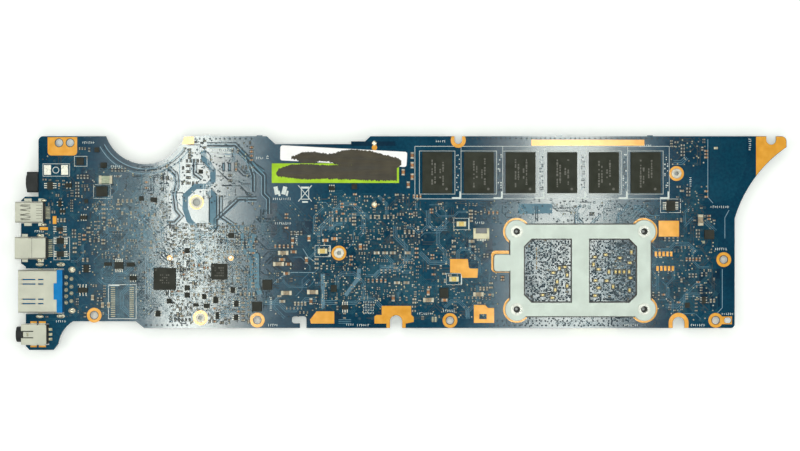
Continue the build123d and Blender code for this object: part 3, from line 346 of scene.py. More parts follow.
# ---- Mesh building ----
def mitres(path):
    """Sideways step at each point of a path that keeps a parallel line one millimetre away."""
    steps = []
    for i, point in enumerate(path):
        before = Vector(point) - Vector(path[i - 1]) if i else None
        after = Vector(path[i + 1]) - Vector(point) if i + 1 < len(path) else None
        before = (before or after).normalized()
        after = (after or before).normalized()
        normal = Vector((-before.y - after.y, before.x + after.x)).normalized()
        steps.append(normal / max(0.5, normal.dot(Vector((-before.y, before.x)))))
    return steps


class Soup:
    """Many small closed forms gathered into one mesh, in millimetres."""

    def __init__(self):
        self.points = []
        self.faces = []

    def stack(self, layers):
        """Closed form through layers of equal numbers of points, each round the way to the next."""
        if layers[0][0][2] > layers[-1][0][2]:
            layers = [list(reversed(layer)) for layer in layers]     # it points down
        first = len(self.points)
        count = len(layers[0])
        for layer in layers:
            self.points.extend(layer)
        self.faces.append([first + i for i in reversed(range(count))])
        for level in range(len(layers) - 1):
            low = first + level * count
            for i in range(count):
                j = (i + 1) % count
                self.faces.append([low + i, low + j, low + count + j, low + count + i])
        top = first + (len(layers) - 1) * count
        self.faces.append([top + i for i in range(count)])

    def block(self, x, y, length, width, low, high, turn=0.0, bevel=0.06):
        """Box with a bevelled top, turned about its middle by turn degrees."""
        bevel = min(bevel, abs(high - low) * 0.45, length * 0.3, width * 0.3)
        shoulder = high - math.copysign(bevel, high - low)
        cos, sin = math.cos(math.radians(turn)), math.sin(math.radians(turn))

        def ring(half_x, half_y, z):
            corners = ((-half_x, -half_y), (half_x, -half_y), (half_x, half_y), (-half_x, half_y))
            return [(x + cx * cos - cy * sin, y + cx * sin + cy * cos, z) for cx, cy in corners]

        half_x, half_y = length / 2, width / 2
        self.stack([
            ring(half_x, half_y, low), ring(half_x, half_y, shoulder),
            ring(half_x - bevel, half_y - bevel, high),
        ])

    def disc(self, x, y, radius, low, high, sides=10, bevel=0.3, squash=1.0):
        """Low round button; bevel is the share of its radius that the top pulls in."""
        def ring(scale, z):
            turns = [2 * math.pi * i / sides for i in range(sides)]
            return [(x + radius * scale * math.cos(a), y + radius * scale * squash * math.sin(a), z)
                    for a in turns]
        self.stack([ring(1, low), ring(1, (low + high) / 2), ring(1 - bevel, high)])

    def hoop(self, x, y, outer, inner, low, high, sides=24):
        """Flat ring."""
        first = len(self.points)
        turns = [2 * math.pi * i / sides for i in range(sides)]
        for radius, z in ((outer, low), (outer, high), (inner, high), (inner, low)):
            for a in turns:
                self.points.append((x + radius * math.cos(a), y + radius * math.sin(a), z))
        for level in range(4):
            for i in range(sides):
                j = (i + 1) % sides
                low_row = first + level * sides
                high_row = first + (level + 1) % 4 * sides
                self.faces.append([low_row + i, low_row + j, high_row + j, high_row + i])

    def ribbon(self, path, width, low, high, slope=0.03):
        """Flat strip along a path, with sloping sides and mitred bends."""
        half = width / 2
        if low > high:
            half, slope = -half, -slope                              # it points down
        edges = ((-half, low), (slope - half, high), (half - slope, high), (half, low))
        self.stack([[(x + side.x * offset, y + side.y * offset, z) for offset, z in edges]
                    for (x, y), side in zip(path, mitres(path))])

    def build(self, name, finish, slot=None):
        """Make the mesh object, give it its finish, and ride it on the board; slot is not used."""
        mesh = bpy.data.meshes.new(name)
        mesh.from_pydata([(x * MM, y * MM, z * MM) for x, y, z in self.points], [], self.faces)
        mesh.validate()
        mesh.update()
        mesh.materials.append(FINISHES[finish])
        piece = bpy.data.objects.new(name, mesh)
        bpy.context.scene.collection.objects.link(piece)
        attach(piece, "board")


# ---- Where the bare laminate shows ----
CELL = 0.25                          # of the grid over each face
LAYER_SPREAD = 0.006                 # by which flat shapes differ in height
GAP_RISE = (0.010, 0.018)            # of the dark surround of a part or via
POUR_RISE = 0.024                    # of copper under the mask
PRINT_RISE = 0.03
VIA_RISE = 0.045


def joined_tree(nodes):
    """Search tree over the faces of several nodes."""
    points, faces = [], []
    for node in nodes:
        first = len(points)
        points.extend(vertex.co for vertex in node.data.vertices)
        faces.extend([first + i for i in face.vertices] for face in node.data.polygons)
    return BVHTree.FromPolygons(points, faces)


class Land:
    """Grid over one face of the board that says where laminate is and where nothing stands."""

    def __init__(self, upper=True):
        self.upper = upper
        self.level = BOARD_HIGH if upper else BOARD_LOW
        self.columns = int((RIGHT - LEFT) / CELL) + 1
        self.rows = int((BACK - FRONT) / CELL) + 1
        everything = joined_tree(NODES.values())
        laminate = joined_tree([NODES["circuit_board"]])
        start = 0.05 if upper else -0.05
        heading = Vector((0, 0, -1 if upper else 1))
        self.free, self.ground = [], []
        for column in range(self.columns):
            x = (LEFT + (column + 0.5) * CELL) * MM
            free, ground = bytearray(self.rows), bytearray(self.rows)
            for row in range(self.rows):
                place = Vector((x, (FRONT + (row + 0.5) * CELL) * MM, start))
                ground[row] = laminate.ray_cast(place, heading)[0] is not None
                if ground[row]:
                    hit = everything.ray_cast(place, heading)[0]
                    free[row] = abs(hit.z - self.level * MM) < 1e-5
            self.free.append(free)
            self.ground.append(ground)

    def height(self, rise):
        """Level that is rise millimetres out from this face."""
        return self.level + rise if self.upper else self.level - rise

    def cells(self, x, y, length, width):
        """Columns and rows that a rectangle covers."""
        spans = []
        for middle, reach, start in ((x, length, LEFT), (y, width, FRONT)):
            first = int((middle - reach / 2 - start) / CELL)
            last = int((middle + reach / 2 - start) / CELL)
            spans.append(range(first, last + 1))
        return spans

    def covers(self, grid, x, y, length, width):
        """Is every cell under a rectangle set in the grid?"""
        columns, rows = self.cells(x, y, length, width)
        if columns.start < 0 or rows.start < 0:
            return False
        if columns.stop > self.columns or rows.stop > self.rows:
            return False
        return all(grid[column][row] for column in columns for row in rows)

    def take(self, x, y, length, width, margin=0.1):
        """Claim a rectangle if all of it is free."""
        reach = 2 * margin
        if not self.covers(self.free, x, y, length + reach, width + reach):
            return False
        columns, rows = self.cells(x, y, length, width)
        for column in columns:
            for row in rows:
                self.free[column][row] = 0
        return True

    def clear(self, x, y, length, width):
        """Mark a rectangle as taken whatever it holds."""
        columns, rows = self.cells(x, y, length, width)
        for column in columns:
            for row in rows:
                if 0 <= column < self.columns and 0 <= row < self.rows:
                    self.free[column][row] = 0


# ---- Small parts, vias, traces and print, gathered by finish ----
class Face:
    """Everything that is drawn on one face of the board."""

    PARTS = {
        # kind: (length, width, height, body finish, share of the length in each end cap)
        "0201": (0.62, 0.32, 0.3, "black_chip", 0.26),
        "0402": (1.0, 0.52, 0.36, "black_chip", 0.24),
        "cap0201": (0.62, 0.34, 0.33, "tan", 0.28),
        "cap0402": (1.02, 0.55, 0.5, "tan", 0.26),
        "cap0603": (1.6, 0.85, 0.8, "tan", 0.24),
        "amber0402": (1.0, 0.52, 0.5, "brown", 0.24),
        "amber0603": (1.7, 0.9, 0.6, "brown", 0.2),
    }

    def __init__(self, land, prefix):
        self.land = land
        self.prefix = prefix
        self.soups = {}

    def soup(self, finish):
        return self.soups.setdefault(finish, Soup())

    def levels(self, low, high):
        """Low and high level of something between two rises above this face."""
        return self.land.height(low), self.land.height(high)

    def block(self, finish, x, y, length, width, low, high, turn=0.0, bevel=0.04):
        first, last = self.levels(low, high)
        self.soup(finish).block(x, y, length, width, first, last, turn, bevel)

    def disc(self, finish, x, y, radius, low, high, sides=8, bevel=0.3, squash=1.0):
        first, last = self.levels(low, high)
        self.soup(finish).disc(x, y, radius, first, last, sides, bevel, squash)

    def line(self, finish, path, width, rise=PRINT_RISE, slope=0.03):
        """Flat strip along a path, its top a hair off the next one's so that none share a plane."""
        first, last = self.levels(0, rise + CHANCE.uniform(0, LAYER_SPREAD))
        self.soup(finish).ribbon(path, width, first, last, slope)

    def plate(self, finish, corners, rise):
        """Flat shape with the given corners, in order round it."""
        first, last = self.levels(0, rise + CHANCE.uniform(0, LAYER_SPREAD))
        turn = sum(a[0] * b[1] - b[0] * a[1] for a, b in zip(corners, corners[1:] + corners[:1]))
        ring = corners if turn > 0 else corners[::-1]
        self.soup(finish).stack([[(x, y, z) for x, y in ring] for z in (first, last)])

    def box_line(self, x0, y0, x1, y1, width):
        """Four printed lines round a rectangle, from corner to corner."""
        half = width / 2
        for y in (y0, y1):
            self.line("silk", [(x0 - half, y), (x1 + half, y)], width)
        for x in (x0, x1):
            self.line("silk", [(x, y0 + half), (x, y1 - half)], width)

    def part(self, kind, x, y, turn=0):
        """Two-ended chip part on its pads, with its solder fillets, if there is room for it."""
        length, width, height, finish, share = self.PARTS[kind]
        upright = turn % 180 == 90
        over_x, over_y = (width, length) if upright else (length, width)
        if not self.land.take(x, y, over_x + 0.2, over_y + 0.2, 0.05):
            return False
        cap = length * share
        along = (0, 1) if upright else (1, 0)
        # Dark block round the part's foot, in the gap finish: painted shade round the part.
        self.block("gap", x, y, length + 0.5, width + 0.42, 0, CHANCE.uniform(*GAP_RISE), turn)
        self.block(finish, x, y, length - 2 * cap, width * 0.96, 0, height * 0.96, turn, 0.03)
        for side in (-1, 1):
            offset = side * (length - cap) / 2
            pad = side * (length - cap * 0.4) / 2
            self.block("caps", x + along[0] * offset, y + along[1] * offset, cap, width,
                       0, height, turn, 0.05)
            self.block("caps", x + along[0] * pad, y + along[1] * pad, cap * 1.3, width * 1.05,
                       0, height * 0.35, turn, 0.12)
        return True

    def pads(self, finish, x, y, pitch, length, width, count, turn=0, rise=0.05):
        """Row of bare pads along X, or along Y if turn is 90."""
        for i in range(count):
            offset = (i - (count - 1) / 2) * pitch
            place = (x, y + offset) if turn == 90 else (x + offset, y)
            over = (width, length) if turn == 90 else (length, width)
            if self.land.take(*place, *over, 0.02):
                self.block(finish, *place, *over, 0, rise, 0, 0.03)

    def gull(self, x, y, length, width, height, pins, pitch, turn=0):
        """Small moulded package with leads on two sides."""
        upright = turn % 180 == 90
        over = (width + 1.0, length) if upright else (length, width + 1.0)
        if not self.land.take(x, y, *over, 0.05):
            return False
        self.block("package", x, y, length, width, 0.06, height, turn, 0.1)
        for side in (-1, 1):
            for i in range(pins):
                along = (i - (pins - 1) / 2) * pitch
                out = side * (width / 2 + 0.2)
                dx, dy = (out, along) if upright else (along, out)
                self.block("tin", x + dx, y + dy, 0.26, 0.55, 0, 0.16, turn, 0.05)
        return True

    def dashes(self, x, y, count, turn=0, size=0.75):
        """Plain print marks where a reference would stand."""
        for i in range(count):
            offset = (i - (count - 1) / 2) * size * 0.82
            dx, dy = (0, offset) if turn == 90 else (offset, 0)
            tall = CHANCE.uniform(0.6, 1.0) * size
            over = (tall, size * 0.2) if turn == 90 else (size * 0.2, tall)
            self.block("silk", x + dx, y + dy, *over, 0, 0.03, 0, 0.01)
            if CHANCE.random() < 0.6:
                shift = CHANCE.choice((-0.4, 0, 0.4)) * tall
                bar = (size * 0.16, size * 0.5) if turn == 90 else (size * 0.5, size * 0.16)
                off = (shift, size * 0.2) if turn == 90 else (size * 0.2, shift)
                self.block("silk", x + dx + off[0], y + dy + off[1], *bar, 0, 0.028, 0, 0.01)

    # -- random fields ------------------------------------------------------
    def cluster(self, kinds, area, count, longest=5):
        """Rows and columns of like parts, as a layout drops them, inside an area."""
        x0, y0, x1, y1 = area
        placed = 0
        for _ in range(count * 6):
            if placed >= count:
                return
            kind = CHANCE.choice(kinds)
            length, width = self.PARTS[kind][:2]
            turn = CHANCE.choice((0, 90))
            run = CHANCE.randint(1, longest)
            x, y = CHANCE.uniform(x0, x1), CHANCE.uniform(y0, y1)
            pitch = width + CHANCE.choice((0.35, 0.5, 0.8))
            for i in range(run):
                place = (x + i * pitch, y) if turn == 90 else (x, y + i * pitch)
                if place[0] < x1 and place[1] < y1:
                    placed += self.part(kind, *place, turn)

    def vias(self, finish, area, count, radius):
        """Via lids dotted on a half-millimetre grid."""
        x0, y0, x1, y1 = area
        for _ in range(count):
            x = round(CHANCE.uniform(x0, x1) * 2) / 2 + CHANCE.uniform(-0.08, 0.08)
            y = round(CHANCE.uniform(y0, y1) * 2) / 2 + CHANCE.uniform(-0.08, 0.08)
            if self.land.take(x, y, radius, radius, 0.06):
                wide = radius * CHANCE.uniform(0.85, 1.15)
                self.disc(finish, x, y, wide, 0, VIA_RISE, 8, 0.25)
                if finish != "gap":
                    self.disc("gap", x, y, radius * 1.7, 0, CHANCE.uniform(*GAP_RISE), 8, 0.05)

    def tracks(self, finish, area, count, widths=(0.13, 0.2), rise=0.022, lanes=(1, 5), steps=4,
               reach=(1.0, 6.0)):
        """Bundles of tracks that run straight and turn by 45 degrees."""
        x0, y0, x1, y1 = area
        for _ in range(count):
            x, y = CHANCE.uniform(x0, x1), CHANCE.uniform(y0, y1)
            heading = CHANCE.randrange(8)
            path = [(x, y)]
            for _ in range(CHANCE.randint(2, steps)):
                run = CHANCE.uniform(*reach)
                angle = math.radians(heading * 45)
                x, y = x + run * math.cos(angle), y + run * math.sin(angle)
                if not (x0 < x < x1 and y0 < y < y1):
                    break
                path.append((x, y))
                heading += CHANCE.choice((-1, 1))
            if len(path) < 2:
                continue
            width = CHANCE.uniform(*widths)
            for lane in range(CHANCE.randint(*lanes)):
                self.track(finish, shifted(path, lane * width * 2.4), width, rise)

    def track(self, finish, path, width, rise):
        """Track along a path, dropped if it would leave the laminate."""
        for start, end in zip(path, path[1:]):
            run = Vector(end) - Vector(start)
            for i in range(int(run.length / CELL) + 2):
                spot = Vector(start) + run * min(1, i * CELL / max(run.length, 1e-6))
                if not self.land.covers(self.land.ground, spot.x, spot.y, width + 0.4, width + 0.4):
                    return False
        self.line(finish, path, width, rise, min(0.03, width * 0.2))
        return True

    def build(self):
        for finish, soup in self.soups.items():
            soup.build(self.prefix + finish, finish, SLOTS.get(finish))


def shifted(path, offset):
    """Path moved sideways by an offset, with its bends kept parallel."""
    return [(x + side.x * offset, y + side.y * offset)
            for (x, y), side in zip(path, mitres(path))]


# ---- Upper face ----
CHIP_PITCH = 12.96                   # memory chips
FIRST_CHIP = 11.2
CHIP_ROW = 21.85
CHIP_TOP = 1.1                       # above the board


def memory_print(face):
    """Frames, corner marks and via rows round the memory chips, and marking on their tops."""
    for i in range(6):
        x = FIRST_CHIP + i * CHIP_PITCH
        face.box_line(x - 5.55, 15.2, x + 5.5, 28.6, 0.16)
        face.block("silk", x + 6.0, 13.95, 2.9, 0.55, 0, 0.04)
        face.block("silk", x + 7.15, 15.1, 0.55, 1.8, 0, 0.04)
        face.disc("mark", x + 2.9, CHIP_ROW - 5.1, 0.4, CHIP_TOP, CHIP_TOP + 0.015, 14, 0.1)
        for column, start, end in (
            (-1.6, -4.3, 4.0), (-0.7, -3.0, 2.6), (0.9, -1.5, 1.2), (1.8, -3.6, 4.2),
        ):
            y = start
            while y < end:
                length = CHANCE.uniform(0.35, 0.8)
                if CHANCE.random() < 0.8:
                    face.block("mark", x + column, CHIP_ROW + y, CHANCE.uniform(0.3, 0.6), length,
                               CHIP_TOP, CHIP_TOP + 0.012, 0, 0.004)
                y += length + 0.22
        for line in range(3):
            for row in range(16):
                gap = x + CHIP_PITCH / 2 + (line - 1) * 0.42
                if CHANCE.random() < 0.8:
                    y = CHIP_ROW - 5.3 + row * 0.72 + CHANCE.uniform(-0.15, 0.15)
                    kind = CHANCE.choice(("silk", "gap", "gap", "trace"))
                    face.disc(kind, gap, y, CHANCE.uniform(0.16, 0.26), 0, 0.035, 7)
    near, far = FIRST_CHIP - 6.95, FIRST_CHIP + 5 * CHIP_PITCH + 7.4
    low, high = 13.7, 30.05
    for y in (high, low):
        face.line("silk", [(near, y), (far, y)], 0.16)
    face.line("silk", [(near, low), (near, high)], 0.16)
    for i in range(6):
        edge = FIRST_CHIP + i * CHIP_PITCH + 7.4
        face.line("silk", [(edge, low), (edge, high)], 0.14)


def flat_package_land(face):
    """Empty footprint for a 32-lead chip, with its frame and print."""
    face.box_line(-91.1, -23.6, -82.5, -13.0, 0.2)
    face.line("silk", [(-90.9, -13.25), (-87.7, -13.25)], 0.35)
    for x in (-89.7, -83.9):
        for i in range(16):
            face.block("dull_tin", x, -18.4 + (i - 7.5) * 0.6, 1.35, 0.3, 0, 0.05, 0, 0.02)
    face.land.clear(-86.9, -18.3, 9, 11)
    face.tracks("trace", (-88.9, -23, -85, -14), 16, lanes=(1, 3), reach=(0.8, 4))
    face.line("trace", [(-88.3, -15.2), (-86.9, -16.6), (-86.9, -18.2), (-88.2, -19.4)], 0.25)


def certification_marks(face):
    """Neutral printed marks: two heavy shapes over a row of dashes, and a crossed-out square."""
    for x, slant in ((-38.9, 12), (-36.4, -14)):
        face.block("silk", x, 16.3, 1.3, 2.5, 0, 0.04, slant)
        face.block("silk", x + 0.9, 15.4, 0.6, 1.6, 0, 0.038, slant)
    face.dashes(-37.2, 13.7, 9, 0, 0.8)
    for side in (-1, 1):
        face.line("silk", [(-29.95 - side * 2.1, 12.9), (-29.95 + side * 2.1, 17.9)], 0.24)
    face.box_line(-31.1, 13.6, -28.8, 17.0, 0.22)
    face.block("silk", -29.95, 17.3, 2.6, 0.4, 0, 0.036)
    face.block("silk", -29.95, 12.75, 1.8, 0.5, 0, 0.036)


def choke_land(face):
    """Empty two-pad land beside the corner holes, and print round it."""
    for x in (-110.1, -104.75):
        face.block("tin", x, 22.7, 2.2, 3.1, 0, 0.08, 0, 0.05)
    face.box_line(-111.5, 20.75, -103.2, 24.6, 0.16)
    face.soup("silk").hoop(-107.5, 22.65, 1.05, 0.85, *face.levels(0, 0.03))
    face.land.clear(-107.4, 22.7, 9, 4.2)
    for x, y, length, width in (
        (-93.15, 16.0, 5.2, 4.3), (-99.75, 25.4, 3.9, 3.1), (-105.65, -1.75, 4.9, 7.0),
        (83.8, 11.55, 6.2, 4.2),
    ):
        face.box_line(x - length / 2, y - width / 2, x + length / 2, y + width / 2, 0.15)


def lamp_print(face):
    """Print round each indicator lamp, heavier towards the right."""
    for x, y in ((-24.5, -2.55), (18.7, 5.9), (16.4, -11.25)):
        face.box_line(x - 2.35, y - 1.75, x + 2.3, y + 1.75, 0.14)
        face.block("silk", x + 2.35, y, 0.35, 3.5, 0, 0.04)
        face.block("black_chip", x - 1.35, y, 0.6, 1.5, 0, 0.05)


def port_solder(face):
    """Solder on the legs and tabs of the ports."""
    for x, y, length, width in (
        (-112.5, -6.7, 2.3, 1.1), (-105.9, -6.75, 2.4, 1.2), (-102.5, -8.35, 2.1, 1.7),
        (-112.5, -22.9, 2.2, 1.0), (-105.9, -22.8, 2.4, 1.2), (-102.5, -21.1, 2.1, 1.6),
        (-111.3, 13.2, 1.7, 1.0), (-111.3, 5.65, 1.7, 0.9), (-112.4, 2.35, 1.9, 0.9),
        (-112.5, -5.25, 1.9, 0.9),
    ):
        face.disc("dull_tin", x, y, length * 0.54, 0, 0.05, 20, 0.05, width / length)
        face.disc("solder", x, y, length * 0.47, 0, 0.4, 18, 0.45, width / length)
        face.land.clear(x, y, length + 0.4, width + 0.4)
    for x, rows in (
        (-104.3, (-10.65, -12.65, -14.65, -16.65, -18.6)), (-102.65, (-11.2, -13.6, -15.7, -18.1)),
    ):
        for y in rows:
            face.disc("dull_tin", x, y, 0.6, 0, 0.05, 14, 0.05)
            face.disc("gold_small", x, y, 0.46, 0, 0.45, 14, 0.6)
            face.disc("tin", x, y, 0.2, 0.3, 0.8, 8, 0.3)
            face.land.clear(x, y, 1.4, 1.4)


def controller_marks(face):
    """Plain marking on the two large controllers."""
    for node in ("system_controller", "charge_controller"):
        low, high = (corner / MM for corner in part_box(node))
        middle = (low + high) / 2
        rise = high.z - face.land.level
        for row in range(4):
            for column in range(-2, 3):
                if CHANCE.random() < 0.75:
                    face.block("mark", middle.x + column * 0.62, middle.y + (row - 1.5) * 0.8,
                               CHANCE.uniform(0.2, 0.5), 0.35, rise, rise + 0.012, 0, 0.004)
        face.disc("mark", low.x + 0.7, high.y - 0.7, 0.22, rise, rise + 0.012, 12, 0.1)


def shell_seams(face):
    """Dark joints round the spring tongues, embossed marks and folds of the port shells."""
    seams = face.soup("seam")
    video_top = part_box("micro_hdmi_shell")[1].z / MM
    display_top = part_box("display_port_shell")[1].z / MM - 0.1   # behind its raised front lip
    thick = 0.015
    for y in (10.9, 8.08):
        tongue = [(-118.4, y + 0.6), (-115.3, y + 0.22), (-115.3, y - 0.22), (-118.4, y - 0.6)]
        seams.ribbon(tongue, 0.22, video_top, video_top + thick)
    for y in (11.2, 9.6, 8.0):
        mark = [(-113.4, y + 0.5), (-111.6, y + 0.5), (-111.6, y - 0.5), (-113.4, y - 0.5)]
        seams.ribbon(mark, 0.13, video_top, video_top + thick)
    seams.ribbon([(-114.7, 1.5), (-114.7, -4.7)], 0.14, display_top, display_top + thick)


def stud_bore_shade():
    """Painted shade: a dark ring low in each backplate stud, which narrows its bore and darkens it as
    seen from above.
    """
    low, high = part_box("backplate_studs")
    shade_rings = Soup()
    reach = 1.95                                                 # from the box's edge to a centre
    outer, inner = 1.02, 0.42
    for x in (low.x / MM + reach, high.x / MM - reach):
        for y in (low.y / MM + reach, high.y / MM - reach):
            shade_rings.hoop(x, y, outer, inner, low.z / MM + 0.1, low.z / MM + 0.4)
    shade_rings.build("stud_bore_shade", "film")


def test_points(face):
    """Solder domes on the round gold lands."""
    for x, y, radius in (
        (-8.4, 31.0, 0.72), (-8.4, 12.0, 0.78), (-72.0, -4.9, 0.6), (-53.1, -4.5, 0.6),
    ):
        face.disc("solder", x, y, radius, 0.05, 0.3, 20, 0.35)


def loose_chips(face):
    """Small packages that the CAD model leaves out."""
    for x, y, length, width, pins, turn in (
        (-109.1, 18.0, 1.5, 1.3, 3, 90), (-103.5, 17.9, 2.0, 1.3, 2, 0), (-94.7, 29.1, 1.7, 1.2, 3, 90),
        (-106.2, 12.2, 1.9, 1.0, 2, 90), (-105.4, 9.8, 1.8, 0.9, 2, 0), (-98.8, 7.9, 2.1, 1.2, 3, 0),
        (-98.0, -8.0, 2.4, 1.7, 3, 90), (-91.3, -6.7, 2.1, 1.2, 2, 90), (-83.7, -6.7, 1.9, 1.3, 2, 90),
        (-83.4, -11.0, 2.2, 1.4, 3, 0), (-61.3, -16.7, 1.6, 1.3, 2, 90), (-63.9, -19.3, 1.7, 1.0, 2, 0),
        (-60.5, -19.6, 1.8, 1.3, 3, 0), (-57.7, -17.8, 1.9, 1.5, 3, 90), (-52.4, -14.7, 1.8, 1.3, 3, 90),
        (-51.3, -18.9, 1.9, 1.4, 3, 90), (-57.2, -22.6, 2.2, 1.0, 3, 90), (-51.4, -23.2, 1.8, 1.3, 3, 90),
        (-75.7, -22.0, 1.8, 1.4, 2, 90), (-21.6, 17.0, 2.0, 1.3, 3, 0), (-16.8, -19.9, 2.4, 1.5, 2, 0),
        (94.1, -17.8, 2.2, 1.2, 3, 90), (75.5, -14.5, 1.6, 1.2, 2, 0), (24.5, -21.5, 1.4, 1.0, 2, 90),
    ):
        face.gull(x, y, length, width, 0.85, pins, length / pins, turn)
    for x, y, size in (
        (-66.6, -14.0, 1.6), (-66.6, -16.2, 1.6), (-72.2, -18.1, 1.5), (-68.6, -18.1, 1.6),
        (-62.4, 22.2, 1.3), (-98.0, 13.0, 1.1),
    ):
        if face.land.take(x, y, size + 0.3, size + 0.3):
            face.block("package", x, y, size, size, 0, 0.7, 0, 0.05)
            for side in (-1, 1):
                face.pads("tin", x, y + side * (size / 2 + 0.1), 0.4, 0.22, 0.3, 3)


def placed_parts(face):
    """Passives that stand out: amber pairs, brown capacitors and rows of like parts."""
    for kind, turn, spots in (
        ("amber0402", 0, ((-14.4, 15.1), (-14.4, 12.0), (-18.4, 12.2), (-18.4, 11.2), (-18.1, 9.1),
            (-35.7, 8.9), (-35.7, 7.8), (-35.7, 4.7), (9.4, 10.4), (9.4, 9.5), (9.7, -3.8), (9.7, -4.8),
            (10.05, -7.8), (10.05, -9.8), (27.6, -16.1), (31.5, -10.6), (31.5, -11.5), (81.6, -16.1),
            (86.3, -18.5), (92.4, -12.2), (95.7, 8.4), (95.7, 7.4), (-15.6, -4.2), (-15.6, -5.2),
            (-15.8, -6.7))),
        ("amber0603", 0, ((-111.3, 4.5), (-33.5, -2.8), (-37.1, -5.2), (-35.1, -6.6), (13.5, -17.8),
            (-23.6, 0.8), (-20.8, 1.3), (-35.7, -9.5))),
        ("amber0603", 90, ((-107.9, 7.0), (-28.7, 1.4), (-33.8, 0.7), (-29.5, -5.4), (-12.7, -1.2),
            (8.4, -15.3), (-28.1, -18.2), (-2.5, -17.2))),
        ("cap0603", 0, ((-7.6, -3.1), (-5.0, -3.1), (-2.6, -3.1), (2.0, -3.1), (-1.3, -12.4),
            (1.6, -12.4), (-37.0, -18.2), (21.9, 0.5), (21.9, -0.6))),
        ("amber0603", 90, ((3.4, 27.2), (3.4, 24.2), (0.6, 22.0), (3.4, 20.6), (2.2, 18.1))),
        ("cap0402", 90, tuple((x, 8.1) for x in (-9.5, -8.2, -6.9, -5.2, -4.1, -2.4))),
        ("0402", 0, ((-53.2, 21.0), (-53.2, 20.2), (-53.2, 19.4), (-66.3, 24.0), (-66.3, 22.2),
            (-66.3, 20.3), (-66.3, 18.6))),
    ):
        for x, y in spots:
            face.part(kind, x, y, turn)
    for x, y, length, width in (
        (-12.7, -1.1, 0.8, 1.3), (9.8, -23.8, 0.6, 1.6), (10.7, -23.8, 0.6, 1.6), (97.9, 29.5, 1.2, 0.7),
        (94.1, 0.2, 0.8, 0.8),
    ):
        face.block("gold_small", x, y, length, width, 0, 0.05)


def window_parts(face):
    """Capacitors that show through the two windows of the backplate."""
    flat = ((63.6, -3.7), (60.2, -4.4), (68.0, -4.7), (71.1, -6.2), (61.4, -8.2), (61.4, -9.3),
            (71.3, -10.9), (60.4, -11.7), (60.4, -12.8), (63.9, -11.8), (61.4, -14.0),
            (61.4, -15.0), (60.3, -16.4), (50.9, -7.5), (47.3, -9.3), (47.0, -17.1), (44.0, -16.2))
    upright = ((71.6, -2.9), (59.8, -6.7), (64.6, -9.0), (66.7, -9.0), (67.9, -9.0), (69.3, -9.0),
               (70.9, -9.0), (65.9, -13.6), (71.0, -14.7), (72.1, -14.7), (49.2, -7.9),
               (51.6, -10.0), (48.5, -12.1), (51.6, -13.4), (47.9, -14.6))
    for turn, spots in ((0, flat), (90, upright)):
        for x, y in spots:
            if face.land.take(x, y, 1.0, 1.0, 0):
                # The dark block under each capacitor is painted shade round it.
                face.block("film", x, y, 1.85, 1.2, 0, 0.05, turn)
                face.block("gold_small", x, y, 1.35, 0.75, 0, 0.4, turn, 0.1)
                face.block("lamp", x, y, 0.66, 0.62, 0, 0.46, turn)
    face.pads("tan", 42.1, -4.5, 0.72, 1.1, 0.4, 10, 90)
    for x0, x1 in ((38.4, 52.8), (58.6, 73.0)):
        window = (x0, -18.3, x1, 1.0)
        face.tracks("trace", window, 60, lanes=(1, 3), reach=(0.5, 2.5))
        face.tracks("gap", window, 110, (0.14, 0.24), 0.02, (1, 2), 3, (0.4, 1.8))
        face.vias("gap", window, 700, 0.3)
        face.cluster(("0201", "cap0201"), (x0, -18.0, x1, 0.8), 30, 3)
        face.vias("silk", window, 160, 0.17)


